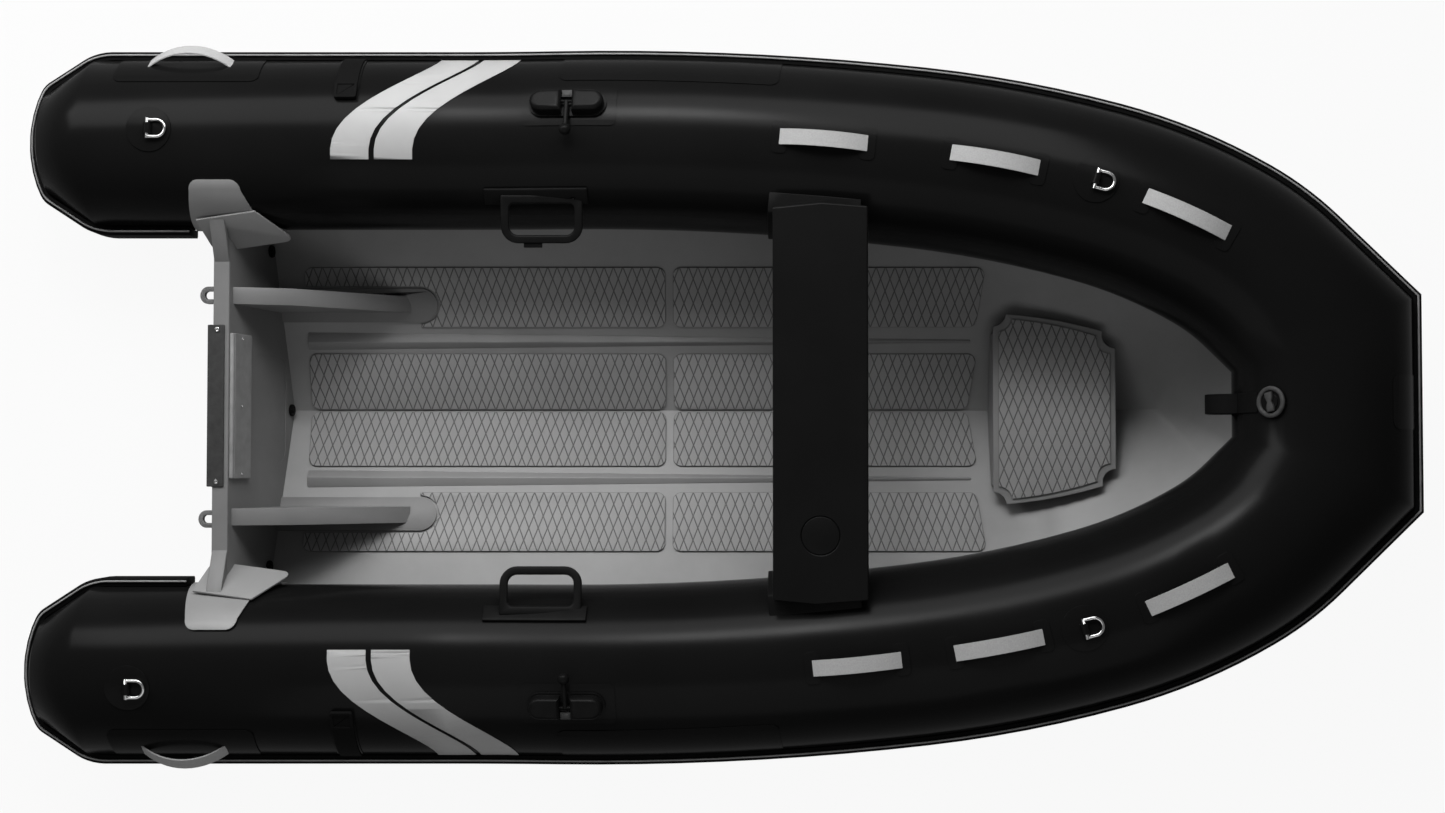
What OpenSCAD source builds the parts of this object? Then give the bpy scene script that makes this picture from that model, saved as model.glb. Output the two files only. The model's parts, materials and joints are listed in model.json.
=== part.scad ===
// Rigid inflatable boat: aluminium V hull, air tube collar in three chambers, bench seat.
// Millimetres. +X is the bow, +Y is port, +Z is up. The origin lies on the waterline amidships.

/* [Tube collar] */
// Distance from the origin aft to the tips of the tubes
stern_reach = 1700; // [1400:10:2200]
// Half spacing of the tube axes at the stern
tube_spacing = 653; // [600:1:760]
// Height of the tube axes above the waterline at the stern
tube_height = 235; // [200:1:280]
// Radius of the air tubes
tube_radius = 210; // [190:1:225]
// Length of the straight part of a tube forward of its stern cone
stern_run = 892; // [840:1:960]
// Radius of the upward bend of the tubes amidships
sheer_radius = 3000; // [2600:10:3600]
// Angle of the upward bend amidships
sheer_angle = 5; // [4:0.1:6]
// Radii of the four inboard bends, counted from amidships to the bow
bend_radii = [7000, 2900, 1250, 600]; // [500:10:8000]
// Angles of the four inboard bends
bend_angles = [7.2, 8.8, 15, 14]; // [6:0.1:18]
// Straight length between the last bend and the bow corner seam
bow_run = 174; // [140:1:220]
// Length of the stern cone
cone_run = 139; // [120:1:170]
// Radius of the small end of the stern cone
cone_tip_radius = 130; // [110:1:150]
// Length of the dome behind the stern cone
dome_run = 34; // [28:1:44]

/* [Rub rail] */
// Height of the rubber rub rail
rail_height = 80; // [60:1:100]
// Distance that the rub rail stands out from the tube
rail_proud = 19; // [14:0.5:24]
// Height of the light bead on top of the rub rail
bead_height = 6; // [4:0.5:9]
// Distance that the bead stands out from the tube
bead_proud = 12; // [10:0.5:14]
// Width of the bead
bead_width = 4.5; // [3:0.5:6]

/* [Hull] */
// Depth of the keel below the waterline
keel_depth = 115; // [95:1:135]
// Angle of the bottom panels to the level
deadrise_angle = 18; // [16:0.5:19]
// Thickness of the hull plate
plate = 4; // [3:0.5:5]
// Angle from the crown of a tube, inboard, to the middle of its seat on the hull
seat_angle = 135; // [130:1:140]
// Half width of the seat strip under each tube
seat_half = 20; // [15:1:25]
// Distance along the tube from the first inboard bend to the foremost flat bottom section
flat_run = 1191; // [1181:1:1226]
// Distance from the front of the flat bottom to the stem
stem_run = 559; // [535:1:575]
// Height of the stem head above the waterline
stem_height = 196; // [170:1:215]
// Power of the keel's upward curve at the bow
forefoot_power = 2.6; // [2:0.1:3.4]
// Height of the hull side at the bow
bow_side = 12; // [8:1:20]
// Half width of the hull at the stem
stem_half = 7; // [6:0.5:10]
// Width of the keel guard bar
guard_width = 30; // [20:1:40]
// Depth of the keel guard bar
guard_depth = 9; // [6:0.5:14]

/* [Transom] */
// Height of the transom's top edge above the waterline
transom_top = 285; // [260:1:310]
// Distance from the tips of the tubes forward to the transom's front face at the top edge
transom_inset = 507; // [470:1:550]
// Thickness of the transom
transom_thick = 40; // [32:1:48]
// Angle of the transom to the upright, top aft
rake_angle = 11.5; // [8:0.5:14]

/* [Engine pads and eyes] */
// Half width of the outer engine pad
pad_half = 200; // [170:1:230]
// Thickness of the outer engine pad
pad_thick = 11; // [8:0.5:15]
// Height of the outer engine pad below the transom's top edge
pad_drop = 190; // [150:1:220]
// Thickness of the outer pad's lip on the top edge
lip_thick = 5; // [3:0.5:8]
// Depth of the outer pad's lip over the top edge
lip_reach = 30; // [22:1:34]
// Half width of the inner clamp plate
clamp_half = 180; // [150:1:205]
// Height of the inner clamp plate
clamp_height = 95; // [80:1:120]
// Thickness of the inner clamp plate
clamp_thick = 12; // [8:0.5:16]
// Half spacing of the stern eyes
eye_spacing = 282; // [262:1:300]
// Height of the stern eyes above the waterline
eye_height = 200; // [180:1:220]
// Distance of an eye's hole from the transom
eye_reach = 30; // [28:0.5:36]
// Radius of an eye's hole
eye_hole = 10; // [8:0.5:11]
// Radius of an eye's rim
eye_rim = 22; // [19:0.5:26]
// Thickness of an eye's lug
eye_thick = 12; // [8:0.5:16]
// Width of an eye's base plate
eye_base = 76; // [68:1:90]
// Height of an eye's base plate
eye_base_height = 40; // [32:1:50]
// Thickness of an eye's base plate
eye_base_thick = 6; // [4:0.5:8]

/* [Knees and wings] */
// Half spacing of the transom knees
knee_spacing = 275; // [262:1:290]
// Width of a transom knee
knee_width = 42; // [34:1:50]
// Distance of a knee's upper end below the transom's top edge
knee_drop = 22; // [14:1:34]
// Length of a knee from the transom's front top edge to its toe
knee_run = 403; // [370:1:430]
// Length of the knee's flatter upper edge
knee_bend_run = 136; // [110:1:160]
// Drop of the knee's flatter upper edge
knee_bend_drop = 43; // [25:1:60]
// Width of a knee's foot plate
foot_width = 91; // [80:1:104]
// Length of a foot plate from the transom's front top edge to its front
foot_run = 473; // [450:1:500]
// Thickness of a knee's foot plate
foot_thick = 7; // [6.5:0.5:9]
// Thickness of the transom wings on the tubes
wing_thick = 5; // [3:0.5:7]
// Length of a wing's outer end along the tube
wing_end = 125; // [110:1:140]
// Distance that a wing reaches aft of the transom's front top edge
wing_aft = 72; // [60:1:85]
// Distance that a wing's lower edge reaches aft of its outer end
wing_heel = 20; // [14:1:28]
// Distance that a wing's lower edge reaches ahead of the transom's front top edge
wing_front = 160; // [140:1:175]
// Angle from the tube's crown to a wing's outer end
wing_angle = 32; // [28:1:36]
// Angle from the tube's crown to a wing's lower edge
wing_lower_angle = 126; // [120:1:127]
// Place of the wing's inner front corner, as shares of its width and height
wing_shares = [0.28, 0.17]; // [0.1:0.01:0.4]

/* [Deck pads] */
// Thickness of the deck pads
mat_thick = 6; // [4:0.5:8]
// Corner radius of the deck pads
mat_round = 22; // [14:1:30]
// Distance from the transom's front top edge to the after edge of the after pads
mat_setback = 128; // [118:1:150]
// Distance from the front of the flat bottom aft to the split between after and forward pads
mat_split_run = 901; // [870:1:930]
// Gap between pads
mat_gap = 20; // [14:1:28]
// Distance from the front of the flat bottom aft to the front of the centre pads
mat_front_run = 107; // [90:1:140]
// Distance that the outer pads reach past the centre pads
mat_slant = 30; // [10:1:40]
// Distance of a centre pad's inner edge from the keel
mat_inner = 5; // [4:0.5:9]
// Width of the centre pads
centre_mat_width = 152; // [140:1:156]
// Distance of an outer pad's inner edge from the keel
mat_outer = 230; // [224:1:238]
// Width of the outer pads
outer_mat_width = 160; // [150:1:170]
// Width of the floor stringers at the transom
stringer_width = 50; // [40:1:56]
// Height of the floor stringers at the transom
stringer_height = 14; // [10:0.5:18]
// Distance of a stringer's inner edge from the keel
stringer_inner = 166; // [163:1:170]

/* [Bow step] */
// Distance from the front of the flat bottom aft to the bow step's after edge
step_setback = 55; // [44:1:65]
// Length of the bow step
step_run = 314; // [290:1:330]
// Half width of the bow step's after edge
step_half_aft = 250; // [235:1:262]
// Half width of the bow step's front edge
step_half_front = 190; // [175:1:204]
// Radius of the scalloped corners of the bow step
step_scallop = 34; // [26:1:42]
// Bulge of the step's curved sides
step_bulge = 11; // [6:0.5:16]
// Thickness of the bow step plate
step_thick = 5; // [4:0.5:7]
// Height of the bow step's after edge above the waterline
step_height = 4; // [0:1:14]
// Upward slope of the bow step
step_slope_angle = 9; // [7:0.5:11]
// Margin of the bow step's pad inside the plate
step_margin = 14; // [10:1:20]

/* [Seat] */
// Distance from the start of the sheer to the middle of the seat
seat_reach = 652; // [600:1:700]
// Length of the seat fore and aft
seat_depth = 226; // [200:1:250]
// Half width of the seat at its corners
seat_span = 466; // [450:1:475]
// Distance that the seat's chevron ends reach past its corners
seat_chevron = 10; // [6:1:14]
// Thickness of the seat
seat_thick = 32; // [26:1:40]
// Height of the seat's underside above the tube axes
seat_rise = 168; // [166:1:176]
// Radius of the flush cap in the seat
cap_radius = 45; // [38:1:50]
// Thickness of the flush cap
cap_thick = 10; // [8:1:14]
// Distance of the flush cap from the centreline
cap_offset = 314; // [290:1:335]
// Angle from the tube's crown to a saddle's upper edge
saddle_upper_angle = 29; // [27:1:32]
// Angle from the tube's crown to a saddle's lower edge
saddle_lower_angle = 72; // [66:1:80]

/* [Fittings] */
// Clearance between curved faces of different pieces
fit_gap = 0.3; // [0.2:0.05:0.5]
// Thickness of the glued patches on the tubes
patch_thick = 2; // [1.5:0.1:3]
// Radius of the round patches under the tow rings
ring_patch_radius = 54; // [48:1:60]
// Inner half width of a tow ring
ring_half = 16.5; // [15:0.5:20]
// Radius of a tow ring's wire
ring_wire = 4; // [3:0.25:5]
// Length of a tow ring from its bar to the far side of its bow
ring_reach = 42; // [36:0.5:48]
// Width of the strap that holds a tow ring's bar
keeper_width = 26; // [20:1:32]
// Thickness of the strap that holds a tow ring's bar
keeper_thick = 4; // [3:0.5:6]
// Running clearance round the tow rings' bars and the rowlock pins
pin_gap = 0.5; // [0.3:0.1:0.8]
// Length of a rowlock's base
rowlock_run = 188; // [170:1:205]
// Width of a rowlock's base
rowlock_width = 65; // [56:1:74]
// Height of a rowlock's blocks
rowlock_height = 34; // [28:1:42]
// Step from the rowlock's base to its blocks
rowlock_step = 5; // [3:0.5:7]
// Slot between a rowlock's blocks
rowlock_slot = 26; // [22:1:32]
// Radius of a rowlock's pin
oar_pin = 6; // [5:0.5:8]
// Length of a rowlock's pin
oar_pin_run = 88; // [76:1:96]
// Radius of the ball on a rowlock's pin
oar_ball = 14; // [11:0.5:17]
// Radius of the hinge pin of a rowlock
rowlock_hinge = 4; // [3:0.5:5]
// Angle from the tube's crown, outboard, to a rowlock
rowlock_angle = 17.5; // [12:0.5:22]
// Distance along the tube from the first inboard bend to a rowlock
rowlock_lead = 47; // [20:1:76]
// Width of the grab straps
strap_width = 38; // [32:1:46]
// Thickness of the webbing
webbing = 3; // [2:0.25:4]
// Rise of a grab strap above the tube
strap_rise = 24; // [16:1:34]
// Length of a grab strap
strap_run = 210; // [190:1:230]
// Angle from the tube's crown, outboard, to a grab strap
strap_angle = 0; // [-4:0.5:4]
// Distances along the tubes from the first inboard bend to the grab straps, port then starboard
strap_leads = [662, 1068, 1531, 739, 1073, 1531]; // [450:1:1650]
// Distances along the tubes from the stern cones to the stern tow rings, port then starboard
stern_ring_reaches = [175, 136]; // [110:1:200]
// Distances along the tubes from the first inboard bend to the bow tow rings, port then starboard
bow_ring_leads = [1307, 1274]; // [1250:1:1320]
// Angles from the tube's crown, outboard, to the tow rings
ring_angles = [1.9, 7, 2, 1.5]; // [0:0.1:10]

/* [Tube trim] */
// Thickness of the painted-on stripe fabric
stripe_thick = 1.2; // [1:0.1:1.6]
// Distance along the tube from the stern cone to the first stripe's inboard end
stripe_reach = 611; // [580:1:640]
// Width of a stripe along the tube
stripe_width = 92; // [80:1:100]
// Spacing of the two stripes along the tube
stripe_pitch = 105; // [102:1:115]
// Distance that a stripe sweeps forward on its way outboard
stripe_sweep = 247; // [220:1:260]
// Angle from the crown to a stripe's inboard end
stripe_inner_angle = 18; // [12:1:24]
// Angle from the crown to the trim's outboard edge beside the rub rail
trim_lower_angle = 76; // [74:1:77]
// Angle from the crown to the upper edge of the side patches
trim_upper_angle = 38; // [35:1:42]
// Distance along the tube from the first inboard bend to the after end of a side patch
side_patch_lead = 18; // [11:1:36]
// Length of a side patch
side_patch_run = 523; // [480:1:550]
// Distance along the tube from the stern cone to the after end of a stern handle's patch
handle_patch_reach = 73; // [60:1:90]
// Length of a stern handle's patch
handle_patch_run = 353; // [320:1:380]
// Length of a rowlock's patch
rowlock_patch_run = 233; // [215:1:250]
// Half angle of a rowlock's patch round the tube
rowlock_patch_angle = 14; // [12:0.5:15]
// Half width of the bow patch
bow_patch_half = 64; // [50:1:80]
// Distance along the tube from the stern cone to an oar strap
oar_strap_reach = 645; // [635:1:655]
// Width of an oar strap
oar_strap_width = 52; // [44:1:56]
// Angle from the crown to the upper end of an oar strap
oar_strap_angle = 30; // [26:1:34]
// Margin of an oar strap's patch
oar_strap_margin = 5; // [3:0.5:7]

/* [Handles and valve] */
// Distance along the tube from the stern cone to a stern handle
stern_handle_reach = 248; // [230:1:265]
// Angle from the crown to a stern handle
stern_handle_angle = 61; // [58:1:63]
// Length of a stern handle
stern_handle_run = 206; // [190:1:225]
// Rise of a stern handle above the tube
stern_handle_rise = 30; // [24:1:36]
// Distance along the tube from the first inboard bend aft to an inner grab handle
grab_setback = 41; // [24:1:58]
// Angle from the crown, inboard, to an inner grab handle's base
grab_angle = 44; // [40:1:48]
// Length of a grab handle's base
grab_base_run = 263; // [240:1:280]
// Half angle of a grab handle's base round the tube
grab_base_angle = 6; // [5:0.5:8]
// Thickness of a grab handle's base
grab_base_thick = 8; // [6:0.5:10]
// Length of a grab handle's bar
grab_run = 199; // [180:1:215]
// Distance that a grab handle stands out from its base
grab_stand = 92; // [80:1:104]
// Radius of a grab handle's bar
grab_radius = 7; // [6:0.5:8]
// Corner radius of a grab handle
grab_corner = 30; // [22:1:38]
// Angle of a grab handle off the tube's skin
grab_tilt_angle = 25; // [20:1:32]
// Radius of the bow valve's ring
valve_radius = 37; // [32:1:42]
// Height of the bow valve's ring
valve_height = 6; // [4:0.5:9]
// Angle from the crown, inboard, to the bow valve
valve_angle = 43; // [38:1:48]
// Width of the bow strap
bow_strap_width = 47; // [40:1:54]
// Angle from the crown, inboard, to the bow strap's lower end
bow_strap_angle = 122; // [116:1:124]
// Reach of the strap's loop off the tube
bow_loop_reach = 64; // [50:1:72]
// Angle of the loop's middle from the tube's crown
bow_loop_angle = 93; // [86:1:98]
// Radius of the drain fittings on the transom
drain_radius = 16; // [13:0.5:19]
// Thickness of the drain fittings
drain_thick = 7; // [5:0.5:9]
// Distance of the side drains from the centreline
drain_spacing = 408; // [395:1:415]
// Height of a drain's middle above the floor
drain_rise = 26; // [24:1:32]

/* [Hidden] */
$fn = 96;
overrun = stern_reach / 100;
span = stern_reach * 3;
half = 1 / 2;
full_turn = 360;
shoulder = cone_run + dome_run - stern_reach;
transom_reach = stern_reach - transom_inset;
knee_reach = transom_reach - knee_run;
foot_reach = transom_reach - foot_run;
mat_aft = transom_reach - mat_setback;
rad = PI / 180;
sheer_run = sheer_radius * sheer_angle * rad;
bend_runs = [for (i = [0:len(bend_radii) - 1]) bend_radii[i] * bend_angles[i] * rad];
corner_angle = 90 - bend_angles * [1, 1, 1, 1];
SEGMENTS = concat(
    [["straight", stern_run, 0], ["sheer", sheer_run, sheer_angle]],
    [for (i = [0:len(bend_radii) - 1]) ["bend", bend_runs[i], bend_angles[i]]],
    [["straight", bow_run, 0]]
);
last_segment = len(SEGMENTS) - 1;
chamber_segment = 3;

// Frames along the port tube: +X runs forward along its axis, +Y outboard, +Z up.
function shift(v) = [[1, 0, 0, v[0]], [0, 1, 0, v[1]], [0, 0, 1, v[2]], [0, 0, 0, 1]];
function turn(a) = [[cos(a), sin(a), 0, 0], [-sin(a), cos(a), 0, 0], [0, 0, 1, 0], [0, 0, 0, 1]];
function bend_radius(run, angle) = run / (angle * rad);
function advance(kind, run, angle) =
    kind == "straight" || angle == 0 ? shift([run, 0, 0]) :
    let (r = bend_radius(run, angle), c = cos(angle), s = sin(angle))
    kind == "sheer"
        ? [[c, 0, -s, r * s], [0, 1, 0, 0], [s, 0, c, r * (1 - c)], [0, 0, 0, 1]]
        : [[c, s, 0, r * s], [-s, c, 0, -r * (1 - c)], [0, 0, 1, 0], [0, 0, 0, 1]];
function segment_start(i) = i == 0 ? 0 : segment_start(i - 1) + SEGMENTS[i - 1][1];
function segment_frame(i) = i == 0
    ? shift([shoulder, tube_spacing, tube_height])
    : segment_frame(i - 1) * advance(SEGMENTS[i - 1][0], SEGMENTS[i - 1][1], SEGMENTS[i - 1][2]);
function frame_in(i, run) =
    segment_frame(i) * advance(SEGMENTS[i][0], run, SEGMENTS[i][2] * run / SEGMENTS[i][1]);
function frame_at(run, i = 0) = run <= SEGMENTS[i][1] || i == last_segment
    ? frame_in(i, run)
    : frame_at(run - SEGMENTS[i][1], i + 1);
function origin_of(m) = [m[0][3], m[1][3], m[2][3]];
function column_of(m, j) = [m[0][j], m[1][j], m[2][j]];
tube_run = segment_start(last_segment + 1);
corner = frame_at(tube_run);
front = corner * turn(corner_angle);
front_half = corner[1][3];
sheer_frame = segment_frame(2);

// Draws its children for one side of the boat: 1 is port and -1 is starboard.
module on_side(side) {
    if (side < 0)
        mirror([0, 1, 0]) children();
    else
        children();
}

// Sweeps an outline drawn in the tube's cross section, outboard to the right, along one piece.
module sweep_piece(kind, run, angle) {
    r = angle == 0 ? 0 : bend_radius(run, angle);
    if (kind == "straight")
        rotate([90, 0, 90]) linear_extrude(run) children();
    if (kind == "sheer")
        translate([0, 0, r])
            rotate([90, 0, 0])
                rotate([0, 0, -90])
                    rotate_extrude(angle = angle)
                        translate([r, 0]) mirror([1, 0]) rotate(-90) children();
    if (kind == "bend")
        translate([0, -r, 0])
            rotate([0, 0, 90 - angle])
                rotate_extrude(angle = angle) translate([r, 0]) children();
}

// Sweeps an outline along the port tube between two distances from the stern cone.
module tube_sweep(from, to) {
    for (i = [0:last_segment]) {
        a = max(from, segment_start(i));
        b = min(to, segment_start(i) + SEGMENTS[i][1]);
        if (b > a)
            multmatrix(frame_in(i, a - segment_start(i)))
                sweep_piece(SEGMENTS[i][0], b - a, SEGMENTS[i][2] * (b - a) / SEGMENTS[i][1])
                    children();
    }
}

// Ring sector in the tube's cross section; angles from the crown, outboard positive.
module sector(inner, outer, from, to) {
    reach = outer * 2;
    middle = (from + to) * half;
    intersection() {
        difference() {
            circle(outer);
            circle(inner);
        }
        polygon([
            [0, 0],
            reach * [sin(from), cos(from)],
            reach * [sin(middle), cos(middle)],
            reach * [sin(to), cos(to)]
        ]);
    }
}

// Places children on the skin of a tube: +Z leaves the tube, +X runs along it.
module on_tube(side, run, angle) {
    on_side(side)
        multmatrix(frame_at(run))
            rotate([-angle, 0, 0]) translate([0, 0, tube_radius]) children();
}

// Rounded rectangle with one corner at the origin; the front edge leans by a slant.
module rounded_panel(length, width, slant, round) {
    low = [round, round];
    points = [low, [length - round, round], [length + slant - round, width - round], [round, width - round]];
    for (p = points)
        translate(p) circle(round);
    polygon([
        [round, 0], [length - round, 0], [length - round, round], [length + slant - round, width - round],
        [length + slant - round, width], [round, width]
    ]);
    polygon([[0, round], [round, round], [round, width - round], [0, width - round]]);
    polygon([
        [length - round, round], [length, round], [length + slant, width - round],
        [length + slant - round, width - round]
    ]);
}

// Hull skin.
function tube_offset(m, along, depth) =
    let (a = column_of(m, 1), b = column_of(m, 2), s = -sin(seat_angle), c = cos(seat_angle))
    origin_of(m) + (tube_radius + fit_gap + depth) * (s * a + c * b) + along * (c * a - s * b);
function floor_height(y) = y * tan(deadrise_angle) - keel_depth;
function rake_x(z) = (transom_top - z) * tan(rake_angle) - transom_reach;
keel_rise = plate / cos(deadrise_angle);
bow_total = tube_run + front_half;
sheer_start = segment_start(1);
bend_start = segment_start(2);
flat_reach = bend_start + flat_run;
rowlock_reach = bend_start + rowlock_lead;
side_patch_reach = bend_start + side_patch_lead;
grab_reach = bend_start - grab_setback;
strap_reaches = [for (r = strap_leads) bend_start + r];
ring_reaches = concat(stern_ring_reaches, [for (r = bow_ring_leads) bend_start + r]);
flat_seat = tube_offset(frame_at(flat_reach), -seat_half, 0);
flat_side = flat_seat[2] - floor_height(flat_seat[1]);
flat_x = flat_seat[0];
stem_reach = flat_x + stem_run;
mat_split = mat_split_run - flat_x;
mat_front = flat_x - mat_front_run;
step_aft = flat_x - step_setback;
hull_start = -transom_reach - shoulder;
corner_seam = [for (i = [0:3]) [
    corner[i][0],
    (corner[i][1] + front[i][1]) / (1 + cos(corner_angle)),
    corner[i][2],
    corner[i][3]
]];
flat_steps = 9;
tube_sides = 48;
bend_steps = [6, 8, 7];
sheer_steps = 5;
bow_steps = 13;
stern_steps = 4;
hull_fore = tube_run - tube_radius * tan(corner_angle * half);
hull_runs = concat(
    [for (i = [0:stern_steps - 1]) hull_start + (sheer_start - hull_start) * i / stern_steps],
    [for (i = [0:sheer_steps - 1]) sheer_start + sheer_run * i / sheer_steps],
    [for (i = [0:flat_steps - 1]) bend_start + (flat_reach - bend_start) * i / flat_steps],
    [for (i = [0:bow_steps]) flat_reach + (hull_fore - flat_reach) * i / bow_steps]
);
hull_frames = concat(
    [for (r = hull_runs) frame_at(r)],
    [corner_seam, front * shift([front_half - stem_half, 0, 0])]
);
hull_marks = concat(hull_runs, [tube_run, bow_total]);
function bow_share(i) = max(0, (hull_marks[i] - flat_reach) / (bow_total - flat_reach));
function hull_keel(i) =
    let (q = bow_share(i), low = tube_offset(hull_frames[i], -seat_half, 0))
    q == 0 ? [low[0], 0, -keel_depth]
        : [flat_x + (stem_reach - flat_x) * q, 0,
            (stem_height + keel_depth) * pow(q, forefoot_power) - keel_depth];
function hull_chine(i) =
    let (q = bow_share(i), low = tube_offset(hull_frames[i], -seat_half, 0))
    [low[0], low[1], q == 0 ? floor_height(low[1]) : low[2] - flat_side * (1 - q) - bow_side * q];
function hull_half(i) =
    let (m = hull_frames[i], k = hull_keel(i), c = hull_chine(i), a = column_of(m, 1))
    let (bevel = plate * tan((180 - seat_angle) * half))
    [
        tube_offset(m, seat_half, 0),
        tube_offset(m, -seat_half, 0),
        c,
        k,
        k + [0, 0, keel_rise],
        c - plate * [a[0], a[1], a[1] * tan(deadrise_angle)] + [0, 0, keel_rise],
        tube_offset(m, bevel - seat_half, plate),
        tube_offset(m, seat_half, plate)
    ];
function flip(p) = [p[0], -p[1], p[2]];
function raked(p) = [rake_x(p[2]), p[1], p[2]];
function hull_ring(i) =
    let (h = hull_half(i))
    let (ring = [h[0], h[1], h[2], h[3], flip(h[2]), flip(h[1]), flip(h[0]),
        flip(h[7]), flip(h[6]), flip(h[5]), h[4], h[5], h[6], h[7]])
    i == 0 ? [for (p = ring) raked(p)] : ring;
module hull() {
    rings = len(hull_frames);
    n = 14;
    caps = n / 2 - 2;
    points = [for (i = [0:rings - 1]) each hull_ring(i)];
    last = (rings - 1) * n;
    faces = concat(
        [for (i = [0:rings - 2]) for (j = [0:n - 1])
            let (a = i * n + j, b = i * n + (j + 1) % n)
            each [[a, b, a + n], [b, b + n, a + n]]],
        [for (j = [0:caps]) each [[j, n - 1 - j, j + 1], [j + 1, n - 1 - j, n - 2 - j]]],
        [for (j = [0:caps]) each [
            [last + j, last + j + 1, last + n - 1 - j],
            [last + j + 1, last + n - 2 - j, last + n - 1 - j]
        ]]
    );
    color("silver") polyhedron(points, faces, convexity = 8);
}

// Places children on the inner face of a bottom panel: +Y runs out from the keel, +Z off the plate.
module on_floor(side) {
    on_side(side)
        translate([0, 0, keel_rise - keel_depth]) rotate([deadrise_angle, 0, 0]) children();
}

// Bar under the flat part of the keel.
module keel_guard() {
    aft = rake_x(-keel_depth);
    color("dimgray")
        difference() {
            translate([aft, -guard_width * half, -keel_depth - guard_depth])
                cube([flat_x - aft, guard_width, guard_depth * 3]);
            for (side = [1, -1])
                on_side(side)
                    translate([0, 0, -keel_depth])
                        rotate([deadrise_angle, 0, 0])
                            translate([-span * half, -guard_width, 0])
                                cube([span, span, span]);
        }
}

// Slab parallel to the transom, from its front face aft.
module raked_slab(ahead, behind) {
    translate([-transom_reach, 0, transom_top])
        rotate([0, -rake_angle, 0])
            translate([-behind, -span * half, -span * half]) cube([ahead + behind, span, span]);
}
module transom_outline() {
    low = tube_offset(frame_at(hull_start), -seat_half, 0);
    difference() {
        polygon([
            [0, -keel_depth], [low[1], floor_height(low[1])], [low[1], low[2]],
            [tube_spacing, tube_height], [tube_spacing, transom_top],
            [-tube_spacing, transom_top], [-tube_spacing, tube_height],
            [-low[1], low[2]], [-low[1], floor_height(low[1])]
        ]);
        for (side = [1, -1])
            translate([side * tube_spacing, tube_height]) circle(tube_radius + wing_thick + fit_gap);
    }
}
rake_thick = transom_thick * cos(rake_angle);
module transom() {
    color("silver")
        intersection() {
            translate([-transom_reach - span * half, 0, 0])
                rotate([90, 0, 90]) linear_extrude(span) transom_outline();
            raked_slab(0, rake_thick);
        }
}

// Places children on the raked transom: +X forward off its face, +Z up along it, origin at the top edge.
module on_transom() {
    translate([-transom_reach, 0, transom_top]) rotate([0, -rake_angle, 0]) children();
}
module engine_pad_outer() {
    color("black") {
        intersection() {
            on_transom()
                translate([-rake_thick - pad_thick, -pad_half, -pad_drop])
                    cube([pad_thick, pad_half * 2, pad_drop * 2]);
            translate([-span, -span * half, transom_top - span])
                cube([span, span, span + lip_thick]);
        }
        translate([-transom_reach - transom_thick - pad_thick * half, -pad_half, transom_top])
            cube([lip_reach + pad_thick * half, pad_half * 2, lip_thick]);
    }
}
module engine_pad_inner() {
    color("gray")
        on_transom()
            translate([0, -clamp_half, -clamp_height - clamp_thick])
                cube([clamp_thick, clamp_half * 2, clamp_height]);
}
flare_steps = 8;
flare_share = 3 / 4;
function eye_flare(t) =
    eye_rim * flare_share + (eye_base * half - eye_rim * flare_share) * pow(1 - t, 2);
module stern_eye(side) {
    drop = (transom_top - eye_height) / cos(rake_angle);
    color("silver")
        on_transom()
            translate([-rake_thick, side * eye_spacing, -drop]) {
                translate([-eye_base_thick, -eye_base * half, -eye_base_height * half])
                    cube([eye_base_thick, eye_base, eye_base_height]);
                difference() {
                    union() {
                        translate([-eye_reach, 0, -eye_thick * half]) cylinder(r = eye_rim, h = eye_thick);
                        translate([0, 0, -eye_thick * half])
                            linear_extrude(eye_thick)
                                polygon(concat(
                                    [for (t = spread(0, 1, flare_steps)) [-eye_reach * t, eye_flare(t)]],
                                    [for (t = spread(1, 0, flare_steps)) [-eye_reach * t, -eye_flare(t)]]
                                ));
                    }
                    translate([-eye_reach, 0, -eye_thick]) cylinder(r = eye_hole, h = eye_thick * 2);
                }
            }
}
module stern_eye_port() { stern_eye(1); }
module stern_eye_stbd() { stern_eye(-1); }

// Gusset from the transom to a foot plate on the floor.
module knee(side) {
    top = transom_top - knee_drop;
    low = -keel_depth * 2;
    color("silver") {
        difference() {
            translate([0, side * knee_spacing + knee_width * half, 0])
                rotate([90, 0, 0])
                    linear_extrude(knee_width)
                        polygon([
                            [rake_x(top), top],
                            [rake_x(top) + knee_bend_run, top - knee_bend_drop],
                            [-knee_reach, floor_height(knee_spacing) + plate + foot_thick],
                            [-knee_reach, low], [rake_x(low), low]
                        ]);
            on_floor(side)
                translate([-span * half, -span * half, foot_thick - span]) cube(span);
        }
        foot_middle = knee_spacing / cos(deadrise_angle);
        intersection() {
            on_floor(side) {
                translate([-transom_reach, foot_middle - foot_width * half, 0])
                    cube([transom_reach - foot_reach - foot_width * half, foot_width, foot_thick]);
                translate([-foot_reach - foot_width * half, foot_middle, 0])
                    cylinder(r = foot_width * half, h = foot_thick);
            }
            raked_slab(span, 0);
        }
    }
}
module knee_port() { knee(1); }
module knee_stbd() { knee(-1); }

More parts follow.
